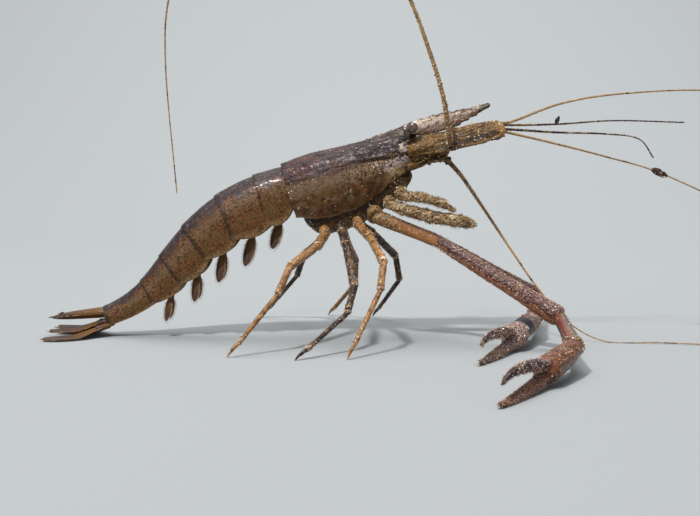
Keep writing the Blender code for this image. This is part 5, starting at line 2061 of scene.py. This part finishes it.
def make_sand():
    paint = sand_paint()
    usual = settings("small").grain / MM
    sanded = [(*row, slot) for slot, rows in SANDED.items() for row in rows]
    for k, (name, count, largest, slot) in enumerate(sanded):
        needs = ("share", "around", "hem") if name == "carapace_shell" else ("share", "around")
        spots, normals, columns = scatter(
            bpy.data.objects[name], count, SAND_SEED + k,
            lambda points, _, columns: clinging(name, points, columns), needs)
        rng = np.random.default_rng(SAND_SEED + 100 + k)
        sizes = usual * largest * (0.6 + 1.5 * rng.random(count) ** 4)
        sand = grains(f"sand_on_{name}", spots, normals, sizes, roots_of(columns),
                      SAND_SEED + 200 + k)
        finished(sand, paint, slot, angle=30)


CAMERA_AWAY = 0.26
CAMERA_SIDEWAYS = -0.014
CAMERA_HEIGHT = 0.0372
HALF_WIDTH_SEEN = 0.07875
LENS_SHIFT = -0.1257
BACKDROP_AIM, PRAWN_AIM = (0.0, 1.3, 0.25), (0.0, 0.0, 0.03)


def make_stage():
    look = settings("stage")
    deselect()
    bpy.ops.mesh.primitive_plane_add(size=2.0, location=(0, 0, 0))
    floor = bpy.context.object
    floor.name = "floor"
    bpy.ops.transform.resize(value=(2.5, 1.0, 1.0), center_override=(0, 0, 0))
    bpy.ops.object.transform_apply(location=False, rotation=False, scale=True)
    bpy.ops.object.mode_set(mode="EDIT")
    sheet = bmesh.from_edit_mesh(floor.data)
    bpy.ops.mesh.select_all(action="DESELECT")
    bpy.ops.mesh.select_mode(type="EDGE")
    for edge in sheet.edges:
        edge.select_set(all(v.co.y > 0.5 for v in edge.verts))
    bmesh.update_edit_mesh(floor.data)
    bpy.ops.mesh.extrude_region_move(TRANSFORM_OT_translate={"value": (0.0, 0.0, 2.5)})
    sheet = bmesh.from_edit_mesh(floor.data)
    for edge in sheet.edges:
        edge.select_set(all(v.co.y > 0.5 and v.co.z < 1e-4 for v in edge.verts))
    bmesh.update_edit_mesh(floor.data)
    bpy.ops.mesh.bevel(offset=0.7, segments=24, profile=0.5, affect="EDGES")
    bpy.ops.object.mode_set(mode="OBJECT")
    bpy.ops.object.shade_smooth()
    floor_paint = Paint("plain_floor")
    floor.data.materials.append(floor_paint.finish(base_color=(*look.floor, 1.0), roughness=0.9))

    world = bpy.data.worlds.new("soft_light")
    world.use_nodes = True
    light = world.node_tree.nodes["Background"].inputs
    light["Color"].default_value = (0.93, 0.96, 1.0, 1.0)
    light["Strength"].default_value = look.ambient
    bpy.context.scene.world = world
    # (name, place, size, power, what it points at)
    lamps = (("key", (-0.24, -0.40, 0.75), 0.08, look.key, PRAWN_AIM),
             ("top", (0.1, 0.15, 0.8), 0.5, look.key * 0.6, PRAWN_AIM),
             ("backdrop", (0.0, 0.55, 0.9), 1.2, look.key * 1.2, BACKDROP_AIM))
    for name, spot, size, power, aim in lamps:
        bpy.ops.object.light_add(type="AREA", location=spot)
        lamp = bpy.context.object
        lamp.name = f"{name}_lamp"
        lamp.data.size = size
        lamp.data.energy = power
        run = Vector(aim) - Vector(spot)
        lamp.rotation_euler = run.to_track_quat("-Z", "Y").to_euler()

    shift = Vector(SHIFT) * MM
    spot = (shift.x + CAMERA_SIDEWAYS, shift.y - CAMERA_AWAY, CAMERA_HEIGHT)
    bpy.ops.object.camera_add(location=spot, rotation=(radians(90), 0, 0))
    camera = bpy.context.object
    camera.name = "camera"
    camera.data.angle = 2 * atan(HALF_WIDTH_SEEN / CAMERA_AWAY)
    camera.data.shift_y = LENS_SHIFT
    camera.data.clip_start = 0.001
    camera.data.clip_end = 20.0
    bpy.context.scene.camera = camera
    bpy.context.scene.view_settings.view_transform = "Standard"


class PRAWN_OT_carapace(bpy.types.Operator):
    """Model the shell over head and breast, with its grooves and spines"""
    bl_idname = "prawn.carapace"
    bl_label = "Carapace"

    def execute(self, context):
        make_carapace()
        return {"FINISHED"}


class PRAWN_OT_rostrum(bpy.types.Operator):
    """Model the keel over the head and the toothed blade in front"""
    bl_idname = "prawn.rostrum"
    bl_label = "Rostrum"

    def execute(self, context):
        make_rostrum()
        return {"FINISHED"}


class PRAWN_OT_breast(bpy.types.Operator):
    """Model the breast that carries the legs, its hip plates, and the mouth"""
    bl_idname = "prawn.breast"
    bl_label = "Breast and mouth"

    def execute(self, context):
        make_breast()
        return {"FINISHED"}


class PRAWN_OT_eyes(bpy.types.Operator):
    """Model both eyes and their stalks"""
    bl_idname = "prawn.eyes"
    bl_label = "Eyes"

    def execute(self, context):
        make_eyes()
        return {"FINISHED"}


class PRAWN_OT_antennules(bpy.types.Operator):
    """Model the first feelers: jointed stalks with two ringed lashes each"""
    bl_idname = "prawn.antennules"
    bl_label = "First feelers"

    def execute(self, context):
        make_antennules()
        return {"FINISHED"}


class PRAWN_OT_antennae(bpy.types.Operator):
    """Model the second feelers, one arching over the back and one drooping to the floor"""
    bl_idname = "prawn.antennae"
    bl_label = "Second feelers"

    def execute(self, context):
        make_antennae()
        return {"FINISHED"}


class PRAWN_OT_scales(bpy.types.Operator):
    """Model the muddy leaf-shaped scales beside the feelers"""
    bl_idname = "prawn.scales"
    bl_label = "Antennal scales"

    def execute(self, context):
        make_scales()
        return {"FINISHED"}


class PRAWN_OT_mouth_legs(bpy.types.Operator):
    """Model the mouth legs and the small first legs, with their hair"""
    bl_idname = "prawn.mouth_legs"
    bl_label = "Mouth legs"

    def execute(self, context):
        make_mouth_legs()
        return {"FINISHED"}


class PRAWN_OT_arms(bpy.types.Operator):
    """Model the long arms with their claws and bristles"""
    bl_idname = "prawn.arms"
    bl_label = "Long arms"

    def execute(self, context):
        make_arms()
        return {"FINISHED"}


class PRAWN_OT_walking_legs(bpy.types.Operator):
    """Model the six walking legs"""
    bl_idname = "prawn.walking_legs"
    bl_label = "Walking legs"

    def execute(self, context):
        make_walking_legs()
        return {"FINISHED"}


class PRAWN_OT_tail(bpy.types.Operator):
    """Model the six overlapping rings of the tail"""
    bl_idname = "prawn.tail"
    bl_label = "Tail rings"

    def execute(self, context):
        make_tail()
        return {"FINISHED"}


class PRAWN_OT_tail_fan(bpy.types.Operator):
    """Model the telson and the four blades beside it"""
    bl_idname = "prawn.tail_fan"
    bl_label = "Tail fan"

    def execute(self, context):
        make_tail_fan()
        return {"FINISHED"}


class PRAWN_OT_swimmerets(bpy.types.Operator):
    """Model the five pairs of swimmerets, each a stem with two fringed leaves"""
    bl_idname = "prawn.swimmerets"
    bl_label = "Swimmerets"

    def execute(self, context):
        make_swimmerets()
        return {"FINISHED"}


class PRAWN_OT_sand(bpy.types.Operator):
    """Scatter grains of sand over the wet shell"""
    bl_idname = "prawn.sand"
    bl_label = "Sand"

    def execute(self, context):
        make_sand()
        return {"FINISHED"}


class PRAWN_OT_stage(bpy.types.Operator):
    """Set the pale sheet that curves up behind the prawn, the lamps and the camera"""
    bl_idname = "prawn.stage"
    bl_label = "Stage"

    def execute(self, context):
        make_stage()
        return {"FINISHED"}


OPERATORS = (
    PRAWN_OT_carapace, PRAWN_OT_rostrum, PRAWN_OT_breast, PRAWN_OT_eyes, PRAWN_OT_antennules,
    PRAWN_OT_antennae, PRAWN_OT_scales, PRAWN_OT_mouth_legs, PRAWN_OT_arms,
    PRAWN_OT_walking_legs, PRAWN_OT_tail, PRAWN_OT_tail_fan, PRAWN_OT_swimmerets,
    PRAWN_OT_sand, PRAWN_OT_stage)


class PRAWN_PT_pieces(bpy.types.Panel):
    """The prawn's pieces, in the order in which they are made"""
    bl_label = "River prawn"
    bl_space_type = "VIEW_3D"
    bl_region_type = "UI"
    bl_category = "Prawn"

    def draw(self, context):
        for key, group in GROUPS.items():
            box = self.layout.box()
            for name in group.__annotations__:
                box.prop(getattr(context.scene, key), name)
        for made in OPERATORS:
            self.layout.operator(made.bl_idname)


def register():
    for group in (*GROUPS.values(), *OPERATORS, PRAWN_PT_pieces):
        bpy.utils.register_class(group)
    for key, group in GROUPS.items():
        setattr(bpy.types.Scene, key, bpy.props.PointerProperty(type=group))


def unregister():
    for key in GROUPS:
        delattr(bpy.types.Scene, key)
    for group in (PRAWN_PT_pieces, *reversed(OPERATORS), *reversed(GROUPS.values())):
        bpy.utils.unregister_class(group)


def main():
    register()
    for made in OPERATORS:
        family, name = made.bl_idname.split(".")
        getattr(getattr(bpy.ops, family), name)()


if __name__ == "__main__":
    main()
